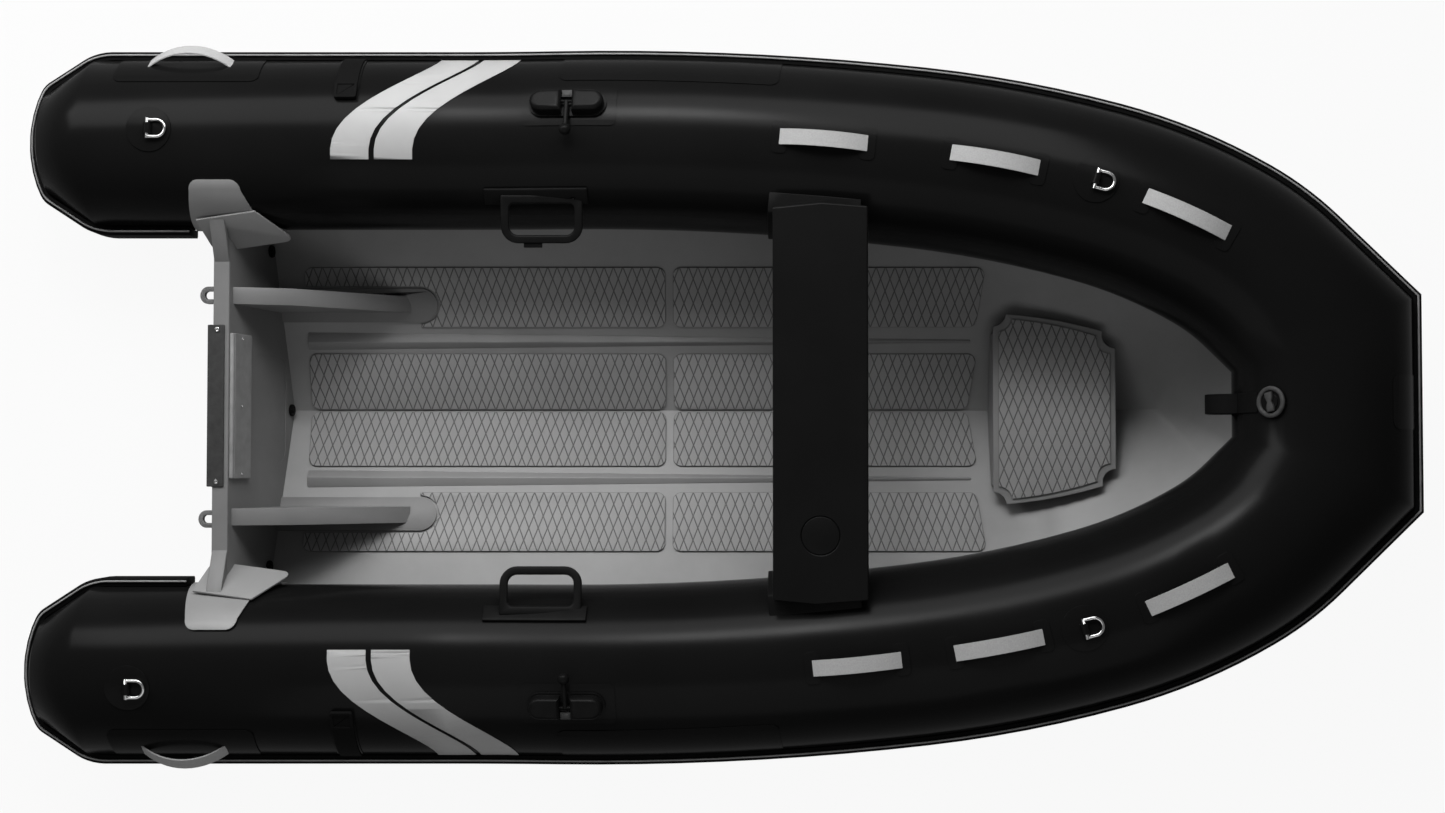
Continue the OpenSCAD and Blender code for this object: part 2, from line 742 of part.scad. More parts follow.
// Curved plate from the transom's end up over the tube, drawn in plan and cut from a shell.
module wing(side) {
    outer = tube_spacing - tube_radius * sin(wing_angle);
    limb = tube_spacing - tube_radius - wing_thick * 2;
    round = wing_end / 5;
    aft = -transom_reach - wing_aft;
    fore = aft + wing_end;
    tip = wing_front - transom_reach;
    color("silver")
        on_side(side) {
            intersection() {
                tube_sweep(0, sheer_start)
                    sector(tube_radius + fit_gap, tube_radius + wing_thick, -90, -wing_angle * half);
                linear_extrude(span) {
                    polygon([
                        [aft, outer - round], [aft + round, outer - round], [aft + round, outer],
                        [fore - round, outer], [fore - round, outer - round], [fore, outer - round],
                        [fore + (tip - fore) * wing_shares[0], limb + (outer - limb) * wing_shares[1]],
                        [tip, limb], [aft - wing_heel, limb]
                    ]);
                    translate([aft + round, outer - round]) circle(round);
                    translate([fore - round, outer - round]) circle(round);
                }
            }
            tube_sweep(hull_start - transom_thick, hull_start + transom_thick)
                sector(tube_radius + fit_gap, tube_radius + wing_thick, -wing_lower_angle, -90);
        }
}
module wing_port() { wing(1); }
module wing_stbd() { wing(-1); }

// Air chambers: a skin through rings of points round the tube's axis.
function ring_points(m, r) = [for (j = [0:tube_sides - 1])
    let (t = full_turn * j / tube_sides)
    origin_of(m) + r * (column_of(m, 1) * cos(t) + column_of(m, 2) * sin(t))];
module tube_skin(frames, radii) {
    n = tube_sides;
    rings = len(frames);
    points = [for (i = [0:rings - 1]) each ring_points(frames[i], radii[i])];
    faces = concat(
        [for (i = [0:rings - 2]) for (j = [0:n - 1])
            let (a = i * n + j, b = i * n + (j + 1) % n)
            each [[a, a + n, b], [b, a + n, b + n]]],
        [[for (j = [0:n - 1]) j]],
        [[for (j = [0:n - 1]) rings * n - 1 - j]]
    );
    polyhedron(points, faces, convexity = 8);
}
function spread(from, to, steps) = [for (i = [0:steps]) from + (to - from) * i / steps];
dome_radius = (pow(cone_tip_radius, 2) + pow(dome_run, 2)) * half / dome_run;
dome_angle = asin(cone_tip_radius / dome_radius);
cap_shares = [1 / 8, 1 / 4, 1 / 2, 3 / 4];
rail_dome_shares = [-3 / 4, -1 / 2, -1 / 4, -1 / 8, 1 / 8, 1 / 4, 1 / 2, 3 / 4];
side_runs = concat(
    [0],
    spread(sheer_start, bend_start, sheer_steps),
    [for (r = spread(bend_start, segment_start(chamber_segment), flat_steps)) if (r > bend_start) r]
);
side_frames = concat(
    [for (q = cap_shares) segment_frame(0) * shift([
        dome_radius * (1 - cos(dome_angle * q)) - cone_run - dome_run, 0, 0])],
    [segment_frame(0) * shift([-cone_run, 0, 0])],
    [for (r = side_runs) frame_at(r)]
);
side_radii = concat(
    [for (q = cap_shares) dome_radius * sin(dome_angle * q)],
    [cone_tip_radius],
    [for (r = side_runs) tube_radius]
);
module tube_side(side) {
    color("black") on_side(side) tube_skin(side_frames, side_radii);
}
module tube_port() { tube_side(1); }
module tube_stbd() { tube_side(-1); }
bow_half_frames = concat(
    [for (i = [chamber_segment:last_segment - 1])
        each [for (q = [0:bend_steps[i - chamber_segment] - 1])
            frame_in(i, max(fit_gap, SEGMENTS[i][1] * q / bend_steps[i - chamber_segment]))]],
    [segment_frame(last_segment), corner_seam]
);
mirror_frame = [[1, 0, 0, 0], [0, -1, 0, 0], [0, 0, 1, 0], [0, 0, 0, 1]];
bow_frames = concat(
    bow_half_frames,
    [for (i = [len(bow_half_frames) - 1:-1:0]) mirror_frame * bow_half_frames[i]]
);
module tube_bow() {
    color("black") tube_skin(bow_frames, [for (m = bow_frames) tube_radius]);
}

// Rub rail: one strip from the inner side round the stern cones, the outside and the bow.
// A station holds a point on the tube's side, the way out and the way up.
cone_slope = atan((tube_radius - cone_tip_radius) / cone_run);
function crease(a, b) = (a + b) / (1 + a * b);
function stern_station(p, out) = [
    [shoulder + p[0], tube_spacing + p[1], tube_height], [out[0], out[1], 0], [0, 0, 1]
];
function dome_out(t) = [-cos(t), sin(t)];
function cone_out(way) = [-sin(cone_slope), way * cos(cone_slope)];
function cone_stations(way) = [
    stern_station([-cone_run, way * cone_tip_radius], crease(cone_out(way), dome_out(way * dome_angle))),
    stern_station([0, way * tube_radius], crease(cone_out(way), [0, way]))
];
rail_start = hull_start - wing_aft - wing_heel - mat_gap * half;
rail_half = concat(
    [stern_station([rail_start, -tube_radius], [0, -1])],
    [cone_stations(-1)[1], cone_stations(-1)[0]],
    [for (q = rail_dome_shares)
        let (t = q * dome_angle)
        stern_station(
            [dome_radius * (1 - cos(t)) - cone_run - dome_run, dome_radius * sin(t)], dome_out(t))],
    cone_stations(1),
    [for (r = side_runs) if (r > 0)
        let (m = frame_at(r))
        [origin_of(m) + tube_radius * column_of(m, 1), column_of(m, 1), column_of(m, 2)]],
    [for (i = [1:len(bow_half_frames) - 1])
        let (m = bow_half_frames[i])
        [origin_of(m) + tube_radius * column_of(m, 1), column_of(m, 1), column_of(m, 2)]]
);
rail_stations = concat(
    rail_half,
    [for (i = [len(rail_half) - 1:-1:0]) [for (v = rail_half[i]) flip(v)]]
);
module rail_strip(outline) {
    n = len(outline);
    rings = len(rail_stations);
    points = [for (k = rail_stations) for (p = outline) k[0] + p[0] * k[1] + p[1] * k[2]];
    faces = concat(
        [for (i = [0:rings - 2]) for (j = [0:n - 1])
            let (a = i * n + j, b = i * n + (j + 1) % n)
            each [[a, b, a + n], [b, b + n, a + n]]],
        [[for (j = [0:n - 1]) n - 1 - j]],
        [[for (j = [0:n - 1]) rings * n - n + j]]
    );
    polyhedron(points, faces, convexity = 8);
}
// The rail's back follows the flatter of the tube and its dome.
back_radius = max(tube_radius, dome_radius);
function skin_at(up) = sqrt(pow(back_radius, 2) - pow(up, 2)) - back_radius + fit_gap * 5 / 2;
module rub_rail() {
    top = rail_height * half;
    soft = rail_proud / 4;
    back_steps = 8;
    color("black")
        rail_strip(concat(
            [for (t = spread(-top, top, back_steps)) [skin_at(t), t]],
            [
                [rail_proud - soft, top], [rail_proud, top - soft],
                [rail_proud, soft - top], [rail_proud - soft, -top]
            ]
        ));
}
module rail_bead() {
    low = rail_height * half;
    top = low + bead_height;
    back = bead_proud - bead_width;
    color("lightgray")
        rail_strip([[back, low], [back, top], [bead_proud - fit_gap, top], [bead_proud, low]]);
}

// Deck pads on the flat bottom panels.
aft_run = mat_aft - mat_split - mat_gap * half;
fwd_run = mat_split - mat_gap * half + mat_front;
module mat(side, fore, outer) {
    color("gray")
        difference() {
            on_floor(side)
                translate([fore ? mat_gap * half - mat_split : -mat_aft, outer ? mat_outer : mat_inner, 0])
                    linear_extrude(mat_thick)
                        rounded_panel(
                            fore ? fwd_run + (outer ? mat_slant * half : 0) : aft_run,
                            outer ? outer_mat_width : centre_mat_width,
                            fore ? (outer ? mat_slant * half : mat_slant * half) : 0,
                            mat_round
                        );
            if (outer && !fore)
                on_floor(side)
                    foot_notch();
        }
}
module foot_notch() {
    margin = mat_gap / 4;
    foot_middle = knee_spacing / cos(deadrise_angle);
    outer = foot_middle + foot_width * half + margin;
    translate([-stern_reach, mat_outer - mat_gap, -mat_thick])
        cube([stern_reach - foot_reach - foot_width * half, outer + mat_gap - mat_outer, mat_thick * 3]);
    translate([-foot_reach - foot_width * half, foot_middle, -mat_thick])
        cylinder(r = foot_width * half + margin, h = mat_thick * 3);
}
module mat_aft_centre_port() { mat(1, false, false); }
module mat_aft_centre_stbd() { mat(-1, false, false); }
module mat_aft_outer_port() { mat(1, false, true); }
module mat_aft_outer_stbd() { mat(-1, false, true); }
module mat_fwd_centre_port() { mat(1, true, false); }
module mat_fwd_centre_stbd() { mat(-1, true, false); }
module mat_fwd_outer_port() { mat(1, true, true); }
module mat_fwd_outer_stbd() { mat(-1, true, true); }

// Low ridge that tapers from the transom to the front of the pads.
module stringers() {
    aft = -mat_aft;
    fine = stringer_width / 10;
    middle = stringer_width * half;
    color("silver")
        for (side = [1, -1])
            on_floor(side)
                translate([0, stringer_inner, 0])
                    polyhedron(
                        [
                            [aft, 0, 0], [aft, stringer_width, 0], [aft, middle, stringer_height],
                            [mat_front, middle - fine, 0], [mat_front, middle + fine, 0],
                            [mat_front, middle, fine]
                        ],
                        [
                            [0, 2, 1], [3, 4, 5], [0, 1, 4], [0, 4, 3],
                            [1, 2, 5], [1, 5, 4], [2, 0, 3], [2, 3, 5]
                        ]
                    );
}

// Plate across the bow on a riser that stands on the flat panels.
module step_outline(margin) {
    aft = step_half_aft - margin;
    fore = step_half_front - margin;
    steps = 8;
    edge = [for (t = spread(0, 1, steps)) [
        margin + (step_run - margin * 2) * t,
        aft + (fore - aft) * t + step_bulge * 4 * t * (1 - t)
    ]];
    difference() {
        polygon(concat(edge, [for (i = [steps:-1:0]) [edge[i][0], -edge[i][1]]]));
        for (y = [-1, 1])
            translate([margin, y * aft]) circle(step_scallop);
        for (y = [-1, 1])
            translate([step_run - margin, y * fore]) circle(step_scallop);
    }
}
module on_step() {
    translate([step_aft, 0, step_height]) rotate([0, -step_slope_angle, 0]) children();
}
module bow_step() {
    riser_half = step_half_aft - step_scallop * 1.5;
    color("silver") {
        on_step() linear_extrude(step_thick) step_outline(0);
        difference() {
            translate([step_aft, -riser_half, -keel_depth])
                cube([step_thick, riser_half * 2, keel_depth + step_height + step_thick * half]);
            for (side = [1, -1])
                on_floor(side) translate([-span * half, -span * half, -span]) cube(span);
        }
    }
}
module bow_step_mat() {
    color("gray")
        on_step() translate([0, 0, step_thick]) linear_extrude(mat_thick) step_outline(step_margin);
}

// Bench across the tubes, in the plane of the sheer.
module on_sheer() {
    multmatrix(sheer_frame) translate([0, -tube_spacing, 0]) children();
}
module seat() {
    color("black")
        difference() {
            on_sheer()
                translate([seat_reach, 0, seat_rise])
                    linear_extrude(seat_thick)
                        polygon([
                            [-seat_depth * half, -seat_span], [0, -seat_span - seat_chevron],
                            [seat_depth * half, -seat_span], [seat_depth * half, seat_span],
                            [0, seat_span + seat_chevron], [-seat_depth * half, seat_span]
                        ]);
            on_sheer()
                translate([seat_reach, -cap_offset, seat_rise + seat_thick - cap_thick])
                    cylinder(r = cap_radius + fit_gap, h = cap_thick * 2);
        }
}
module seat_cap() {
    color("black")
        on_sheer()
            translate([seat_reach, -cap_offset, seat_rise + seat_thick - cap_thick])
                cylinder(r = cap_radius, h = cap_thick);
}
module seat_saddle(side) {
    run = bend_start + seat_reach;
    color("black")
        on_side(side)
            intersection() {
                tube_sweep(run - seat_depth * half, run + seat_depth * half)
                    sector(tube_radius + fit_gap, tube_radius + seat_thick,
                        -saddle_lower_angle, -saddle_upper_angle);
                on_sheer()
                    translate([0, 0, seat_rise - span]) cube([span, span, span]);
            }
}
module seat_saddle_port() { seat_saddle(1); }
module seat_saddle_stbd() { seat_saddle(-1); }

// Rowlock: two blocks on a base, with a folding pin between them.
rowlock_base = patch_thick * 3;
hinge_height = rowlock_base + oar_ball;
module rowlock_outline(margin) {
    out = (rowlock_run - rowlock_width) * half;
    square([out * 2, rowlock_width - margin * 2], center = true);
    for (way = [-1, 1])
        translate([way * out, 0]) circle(rowlock_width * half - margin);
}
module rowlock(side) {
    color("black")
        on_tube(side, rowlock_reach, rowlock_angle)
            difference() {
                union() {
                    translate([0, 0, patch_thick - rowlock_base])
                        linear_extrude(rowlock_base * 2) rowlock_outline(0);
                    translate([0, 0, patch_thick])
                        linear_extrude(rowlock_height) rowlock_outline(rowlock_step);
                }
                translate([-rowlock_slot * half, -rowlock_width, patch_thick + rowlock_base])
                    cube([rowlock_slot, rowlock_width * 2, rowlock_height]);
                translate([-rowlock_slot, 0, hinge_height])
                    rotate([0, 90, 0]) cylinder(r = rowlock_hinge + pin_gap, h = rowlock_slot * 2);
                on_tube_cut();
            }
}
module on_tube_cut() {
    translate([-rowlock_run, 0, -tube_radius])
        rotate([0, 90, 0]) cylinder(r = tube_radius + patch_thick + fit_gap, h = rowlock_run * 2);
}
module rowlock_port() { rowlock(1); }
module rowlock_stbd() { rowlock(-1); }
module rowlock_pin(side) {
    color("dimgray")
        on_tube(side, rowlock_reach, rowlock_angle)
            translate([0, 0, hinge_height]) {
                rotate([90, 0, 0]) cylinder(r = oar_pin, h = oar_pin_run - oar_ball);
                translate([0, oar_ball - oar_pin_run, 0]) sphere(oar_ball);
                translate([-rowlock_slot + overrun * half, 0, 0])
                    rotate([0, 90, 0]) cylinder(r = rowlock_hinge, h = rowlock_slot * 2 - overrun);
            }
}
module rowlock_pin_port() { rowlock_pin(1); }
module rowlock_pin_stbd() { rowlock_pin(-1); }

// Tow rings on round patches: each row holds its name and side.
RINGS = [
    ["ring_stern_port", 1], ["ring_stern_stbd", -1], ["ring_bow_port", 1], ["ring_bow_stbd", -1]
];
ring_middle = ring_half + ring_wire;
ring_bar = ring_wire * 5 / 4;
bar_height = patch_thick + keeper_thick * half + ring_bar + pin_gap;
module on_ring(i) {
    on_tube(RINGS[i][1], ring_reaches[i], ring_angles[i]) children();
}
module ring_patches() {
    keeper_half = ring_bar + pin_gap + keeper_thick;
    color("black")
        for (i = [0:len(RINGS) - 1])
            on_ring(i) {
                intersection() {
                    translate([-ring_patch_radius * 2, 0, -tube_radius])
                        rotate([0, 90, 0])
                            difference() {
                                cylinder(r = tube_radius + patch_thick, h = ring_patch_radius * 4);
                                cylinder(r = tube_radius + fit_gap, h = ring_patch_radius * 4);
                            }
                    translate([0, 0, -tube_radius * half]) cylinder(r = ring_patch_radius, h = tube_radius);
                }
                difference() {
                    union() {
                        translate([-keeper_half, -keeper_width * half, 0])
                            cube([keeper_half * 2, keeper_width, bar_height]);
                        translate([0, keeper_width * half, bar_height])
                            rotate([90, 0, 0]) cylinder(r = keeper_half, h = keeper_width);
                    }
                    translate([0, keeper_width, bar_height])
                        rotate([90, 0, 0]) cylinder(r = ring_bar + pin_gap, h = keeper_width * 2);
                    translate([-ring_patch_radius * 2, 0, -tube_radius])
                        rotate([0, 90, 0])
                            cylinder(r = tube_radius + patch_thick * half, h = ring_patch_radius * 4);
                }
            }
}
module ring(i) {
    leg = ring_reach - ring_middle;
    color("gainsboro")
        on_ring(i)
            translate([0, 0, bar_height]) {
                translate([0, ring_middle + ring_wire, 0])
                    rotate([90, 0, 0]) cylinder(r = ring_bar, h = (ring_middle + ring_wire) * 2);
                for (way = [-1, 1])
                    translate([0, way * ring_middle, 0])
                        rotate([0, 90, 0]) cylinder(r = ring_wire, h = leg);
                translate([leg, 0, 0])
                    rotate([0, 0, -90])
                        rotate_extrude(angle = 180) translate([ring_middle, 0]) circle(ring_wire);
            }
}
module ring_stern_port() { ring(0); }
module ring_stern_stbd() { ring(1); }
module ring_bow_port() { ring(2); }
module ring_bow_stbd() { ring(3); }

// Webbing straps along the crown of the bow tubes, arched between two glued patches.
module arch(length, rise, thick, width) {
    r = (pow(length * half, 2) + pow(rise, 2)) * half / rise;
    translate([0, width * half, rise - r])
        rotate([90, 0, 0])
            linear_extrude(width)
                intersection() {
                    difference() {
                        circle(r);
                        circle(r - thick);
                    }
                    translate([-length * half, r - rise]) square([length, rise * 2]);
                }
}
module grab_straps() {
    color("lightgray")
        for (i = [0:len(strap_reaches) - 1])
            on_tube(i < 3 ? 1 : -1, strap_reaches[i], strap_angle)
                translate([0, 0, patch_thick]) arch(strap_run, strap_rise, webbing, strap_width);
}
module strap_patches() {
    color("black")
        for (i = [0:len(strap_reaches) - 1])
            for (way = [-1, 1])
                on_tube(i < 3 ? 1 : -1, strap_reaches[i] + way * strap_run * half, strap_angle)
                    intersection() {
                        translate([-strap_width * half, -strap_width, -tube_radius])
                            cube([strap_width, strap_width * 2, tube_radius + patch_thick]);
                        difference() {
                            translate([-strap_run, 0, -tube_radius])
                                rotate([0, 90, 0]) cylinder(r = tube_radius + patch_thick, h = strap_run * 2);
                            translate([-strap_run, 0, -tube_radius])
                                rotate([0, 90, 0]) cylinder(r = tube_radius + fit_gap, h = strap_run * 2);
                        }
                    }
}

// Strip of a tube's skin between two distances and two angles, bent with the tube.
module skin_strip(from, to, low, high, inner, outer) {
    along = 6;
    round = 8;
    n = (round + 1) * 2;
    points = [for (r = spread(from, to, along))
        let (m = frame_at(r), a = column_of(m, 1), b = column_of(m, 2))
        each concat(
            [for (t = spread(low, high, round)) origin_of(m) + inner * (a * sin(t) + b * cos(t))],
            [for (t = spread(high, low, round)) origin_of(m) + outer * (a * sin(t) + b * cos(t))]
        )];
    last = along * n;
    faces = concat(
        [for (i = [0:along - 1]) for (j = [0:n - 1])
            let (a = i * n + j, b = i * n + (j + 1) % n)
            each [[a, a + n, b], [b, a + n, b + n]]],
        [for (j = [0:round - 1]) each [[j, j + 1, n - 1 - j], [j + 1, n - 2 - j, n - 1 - j]]],
        [for (j = [0:round - 1]) each [
            [last + j, last + n - 1 - j, last + j + 1],
            [last + j + 1, last + n - 1 - j, last + n - 2 - j]
        ]]
    );
    polyhedron(points, faces, convexity = 6);
}

// Plain glued patches on the tubes.
module tube_patches() {
    inner = tube_radius + fit_gap;
    outer = tube_radius + patch_thick;
    low = rowlock_angle - rowlock_patch_angle;
    high = rowlock_angle + rowlock_patch_angle;
    strap_half = oar_strap_width * half + oar_strap_margin;
    color("black") {
        for (side = [1, -1])
            on_side(side) {
                tube_sweep(side_patch_reach, side_patch_reach + side_patch_run)
                    sector(inner, outer, trim_upper_angle, trim_lower_angle);
                tube_sweep(handle_patch_reach, handle_patch_reach + handle_patch_run)
                    sector(inner, outer, trim_upper_angle, trim_lower_angle);
                tube_sweep(oar_strap_reach - strap_half, oar_strap_reach + strap_half)
                    sector(inner, outer, oar_strap_angle - oar_strap_margin * half, trim_lower_angle);
                skin_strip(rowlock_reach - rowlock_patch_run * half, rowlock_reach + rowlock_patch_run * half,
                    low, high, inner, outer);
            }
        multmatrix(front * shift([front_half - bow_patch_half, 0, 0]))
            sweep_piece("straight", bow_patch_half * 2, 0)
                sector(inner, outer, trim_upper_angle, trim_lower_angle);
    }
}

// Two swept stripes over each tube, cut from a thin shell by their outline in plan.
function ease(t) = t * t * t * (t * (t * 6 - 15) + 10);
function stripe_edge(t, run) =
    let (angle = t * (trim_lower_angle + stripe_inner_angle) - stripe_inner_angle)
    [
        shoulder + run + stripe_sweep * ease(t),
        tube_spacing + (tube_radius + stripe_thick) * sin(angle)
    ];
module stripes() {
    steps = 14;
    color("lightgray")
        for (side = [1, -1])
            for (band = [0, 1]) {
                run = stripe_reach + band * stripe_pitch;
                on_side(side)
                    intersection() {
                        tube_sweep(run - stripe_width, run + stripe_sweep + stripe_width * 2)
                            sector(tube_radius + fit_gap, tube_radius + stripe_thick,
                                -stripe_inner_angle, trim_lower_angle);
                        linear_extrude(span)
                            polygon(concat(
                                [for (i = [0:steps]) stripe_edge(i / steps, run)],
                                [for (i = [steps:-1:0]) stripe_edge(i / steps, run + stripe_width)]
                            ));
                    }
            }
}
module oar_straps() {
    inner = tube_radius + patch_thick + fit_gap;
    color("black")
        for (side = [1, -1])
            on_side(side)
                tube_sweep(oar_strap_reach - oar_strap_width * half, oar_strap_reach + oar_strap_width * half)
                    sector(inner, inner + webbing, oar_strap_angle, trim_lower_angle);
}
module stern_handles() {
    color("lightgray")
        for (side = [1, -1])
            on_tube(side, stern_handle_reach, stern_handle_angle)
                translate([0, 0, patch_thick])
                    arch(stern_handle_run, stern_handle_rise, webbing, strap_width);
}

// Moulded handle on the inner side of a tube: a base and a rounded loop.
module grab_handle(side) {
    out = grab_run * half - grab_radius;
    leg = grab_stand - grab_corner;
    color("black") {
        on_side(side)
            skin_strip(grab_reach - grab_base_run * half, grab_reach + grab_base_run * half,
                -grab_angle - grab_base_angle, -grab_angle + grab_base_angle,
                tube_radius + fit_gap, tube_radius + grab_base_thick);
        on_tube(side, grab_reach, -grab_angle)
            translate([0, 0, grab_base_thick + grab_radius * half])
                rotate([-grab_tilt_angle, 0, 0]) {
                    for (way = [-1, 1]) {
                        translate([way * out, 0, 0]) rotate([90, 0, 0]) cylinder(r = grab_radius, h = leg);
                        translate([way * (out - grab_corner), -leg, 0])
                            rotate([0, 0, way < 0 ? 180 : -90])
                                rotate_extrude(angle = 90) translate([grab_corner, 0]) circle(grab_radius);
                    }
                    translate([grab_corner - out, -grab_stand, 0])
                        rotate([0, 90, 0]) cylinder(r = grab_radius, h = (out - grab_corner) * 2);
                }
    }
}
module grab_handle_port() { grab_handle(1); }
module grab_handle_stbd() { grab_handle(-1); }

// Fittings on the inner side of the bow tube.
bow_middle = front * shift([front_half, 0, 0]);
module bow_valve() {
    color("black")
        multmatrix(bow_middle)
            difference() {
                rotate([valve_angle, 0, 0]) {
                    translate([0, 0, tube_radius - valve_height])
                        cylinder(r = valve_radius, h = valve_height * 2);
                    translate([0, 0, tube_radius])
                        cylinder(r = valve_radius * half, h = valve_height * 3 * half);
                }
                translate([-tube_radius, 0, 0])
                    rotate([0, 90, 0]) cylinder(r = tube_radius + fit_gap, h = tube_radius * 2);
            }
}
module bow_strap() {
    gap = valve_angle + (valve_radius + valve_height) / tube_radius / rad;
    color("black") {
        multmatrix(bow_middle * shift([-bow_strap_width * half, 0, 0]))
            sweep_piece("straight", bow_strap_width, 0)
                sector(tube_radius + fit_gap, tube_radius + webbing, -bow_strap_angle, -gap);
        multmatrix(bow_middle)
            rotate([bow_loop_angle, 0, 0])
                translate([-bow_strap_width * half, 0, 0])
                    rotate([90, 0, 90])
                        linear_extrude(bow_strap_width)
                            difference() {
                                translate([0, tube_radius]) circle(bow_loop_reach);
                                translate([0, tube_radius]) circle(bow_loop_reach - webbing);
                                circle(tube_radius + webbing + fit_gap);
                            }
    }
}
module drain_fittings() {
    color("black")
        for (y = [-drain_spacing, 0, drain_spacing]) {
            z = floor_height(abs(y)) + keel_rise + drain_rise;
            on_transom()
                translate([0, y, (z - transom_top) / cos(rake_angle)])
                    rotate([0, 90, 0]) {
                        cylinder(r = drain_radius, h = drain_thick);
                        cylinder(r = drain_radius * half, h = drain_thick * 3 * half);
                    }
        }
}

hull();
keel_guard();
transom();
stringers();
engine_pad_outer();
engine_pad_inner();
stern_eye_port();
stern_eye_stbd();
knee_port();
knee_stbd();
wing_port();
wing_stbd();
tube_port();
tube_bow();
tube_stbd();
rub_rail();
rail_bead();
mat_aft_centre_port();
mat_aft_centre_stbd();
mat_aft_outer_port();
mat_aft_outer_stbd();
mat_fwd_centre_port();
mat_fwd_centre_stbd();
mat_fwd_outer_port();
mat_fwd_outer_stbd();
bow_step();
bow_step_mat();
seat();
seat_cap();
seat_saddle_port();
seat_saddle_stbd();
rowlock_port();
rowlock_stbd();
rowlock_pin_port();
rowlock_pin_stbd();
ring_patches();
ring_stern_port();
ring_stern_stbd();
ring_bow_port();
ring_bow_stbd();
grab_straps();
strap_patches();
tube_patches();
stripes();
oar_straps();
stern_handles();
grab_handle_port();
grab_handle_stbd();
bow_valve();
bow_strap();
drain_fittings();
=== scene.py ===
# %% [markdown]
# # Dressing a rigid inflatable boat
# The solids of the boat come from the CAD model: a painted aluminium V hull, a black air tube collar, a
# bench seat, deck pads and the small fittings on the tubes. This notebook gives them soft edges, small
# trim and real finishes. Every length is in metres, +X is the bow, +Y is port and +Z is up.

# %% Load the frame
import json
import math

import bpy
import bmesh
from mathutils import Matrix, Vector


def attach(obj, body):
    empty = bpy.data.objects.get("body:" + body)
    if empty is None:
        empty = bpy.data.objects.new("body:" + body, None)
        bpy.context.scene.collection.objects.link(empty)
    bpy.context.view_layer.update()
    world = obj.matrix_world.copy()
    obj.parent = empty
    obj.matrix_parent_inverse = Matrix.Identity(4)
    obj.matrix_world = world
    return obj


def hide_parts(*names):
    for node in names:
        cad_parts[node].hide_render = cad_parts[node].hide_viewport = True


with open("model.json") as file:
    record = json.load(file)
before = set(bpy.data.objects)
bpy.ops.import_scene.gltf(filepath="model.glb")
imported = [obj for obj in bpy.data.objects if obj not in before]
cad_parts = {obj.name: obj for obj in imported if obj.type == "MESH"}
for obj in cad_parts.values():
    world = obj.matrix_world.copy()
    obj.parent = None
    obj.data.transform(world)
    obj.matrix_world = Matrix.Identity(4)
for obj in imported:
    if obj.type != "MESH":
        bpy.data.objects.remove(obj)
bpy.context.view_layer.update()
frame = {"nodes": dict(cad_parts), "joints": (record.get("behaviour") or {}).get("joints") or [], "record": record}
nodes = frame["nodes"]

# %% [markdown]
# ## The camera
# The picture looks almost straight down with the bow to the right. A normal lens five metres up shows the
# tubes slightly larger than the floor, as they are nearer. It stands a little to starboard, and a tiny turn
# about X aims it back at the boat, so it shows a little more of the port tube's inner side.

# %% Camera
CAMERA_PLACE = (0.0275, -0.165, 5.24)
CAMERA_TILT = 1.883  # degrees
camera_data = bpy.data.cameras.new("overhead_camera")
camera_data.lens = 50
camera_data.sensor_width = 36
camera = bpy.data.objects.new("overhead_camera", camera_data)
bpy.context.scene.collection.objects.link(camera)
camera.location = CAMERA_PLACE
camera.rotation_euler = (math.radians(CAMERA_TILT), 0, 0)
bpy.context.scene.camera = camera
bpy.context.scene.view_settings.view_transform = "Standard"
print("camera height", camera.location.z)

# %% [markdown]
# ## Working by hand, in code
# Operators act on whatever is selected, so every step starts from an empty selection with one active
# object. These small helpers do what a modeller does all the time: pick one object, enter edit mode, pick
# faces or edges by where they are, and apply a modifier.

# %% Selection helpers
def pick(piece):
    """Makes one object the only selected and active one."""
    bpy.ops.object.select_all(action="DESELECT")
    piece.select_set(True)
    bpy.context.view_layer.objects.active = piece


def edit(piece, mode="FACE"):
    """Opens a piece in edit mode with nothing selected."""
    pick(piece)
    bpy.ops.object.mode_set(mode="EDIT")
    bpy.ops.mesh.select_mode(type=mode)
    bpy.ops.mesh.select_all(action="DESELECT")


def leave():
    """Goes back to object mode."""
    bpy.ops.object.mode_set(mode="OBJECT")


def choose(piece, kind, test):
    """Selects faces, edges or vertices for which test(element) is true."""
    mesh = bmesh.from_edit_mesh(piece.data)
    found = 0
    for element in getattr(mesh, kind):
        hit = bool(test(element))
        element.select_set(hit)
        found += hit
    mesh.select_flush_mode()
    bmesh.update_edit_mesh(piece.data)
    return found


def apply_modifier(piece, kind, **settings):
    """Adds one modifier with its settings and applies it."""
    pick(piece)
    modifier = piece.modifiers.new(kind.lower(), kind)
    for key, value in settings.items():
        setattr(modifier, key, value)
    bpy.ops.object.modifier_apply(modifier=modifier.name)
    return piece


def smooth(piece, degrees=30):
    """Blends the shading of faces that meet at less than an angle."""
    pick(piece)
    bpy.ops.object.shade_smooth_by_angle(angle=math.radians(degrees))
    return piece


# %% [markdown]
# ## Copies that can be worked on
# A CAD node arrives as loose triangles and stays untouched. To soften a node we copy it, weld the
# triangles, dissolve the flat ones into clean faces and bevel what is left of the sharp edges. The copy
# then stands for the node, and rides on the same body.

# %% Copy, weld and soften
body_of_node = {n: b for b, group in frame["record"]["behaviour"]["bodies"].items() for n in group}
SAME_POINT = 0.00002
NEARLY_FLAT = 0.4  # degrees


def weld(piece, distance=SAME_POINT, flat=NEARLY_FLAT):
    """Joins loose triangles and melts coplanar ones together."""
    edit(piece, "VERT")
    bpy.ops.mesh.select_all(action="SELECT")
    bpy.ops.mesh.remove_doubles(threshold=distance)
    if flat:
        bpy.ops.mesh.dissolve_limited(angle_limit=math.radians(flat))
    leave()


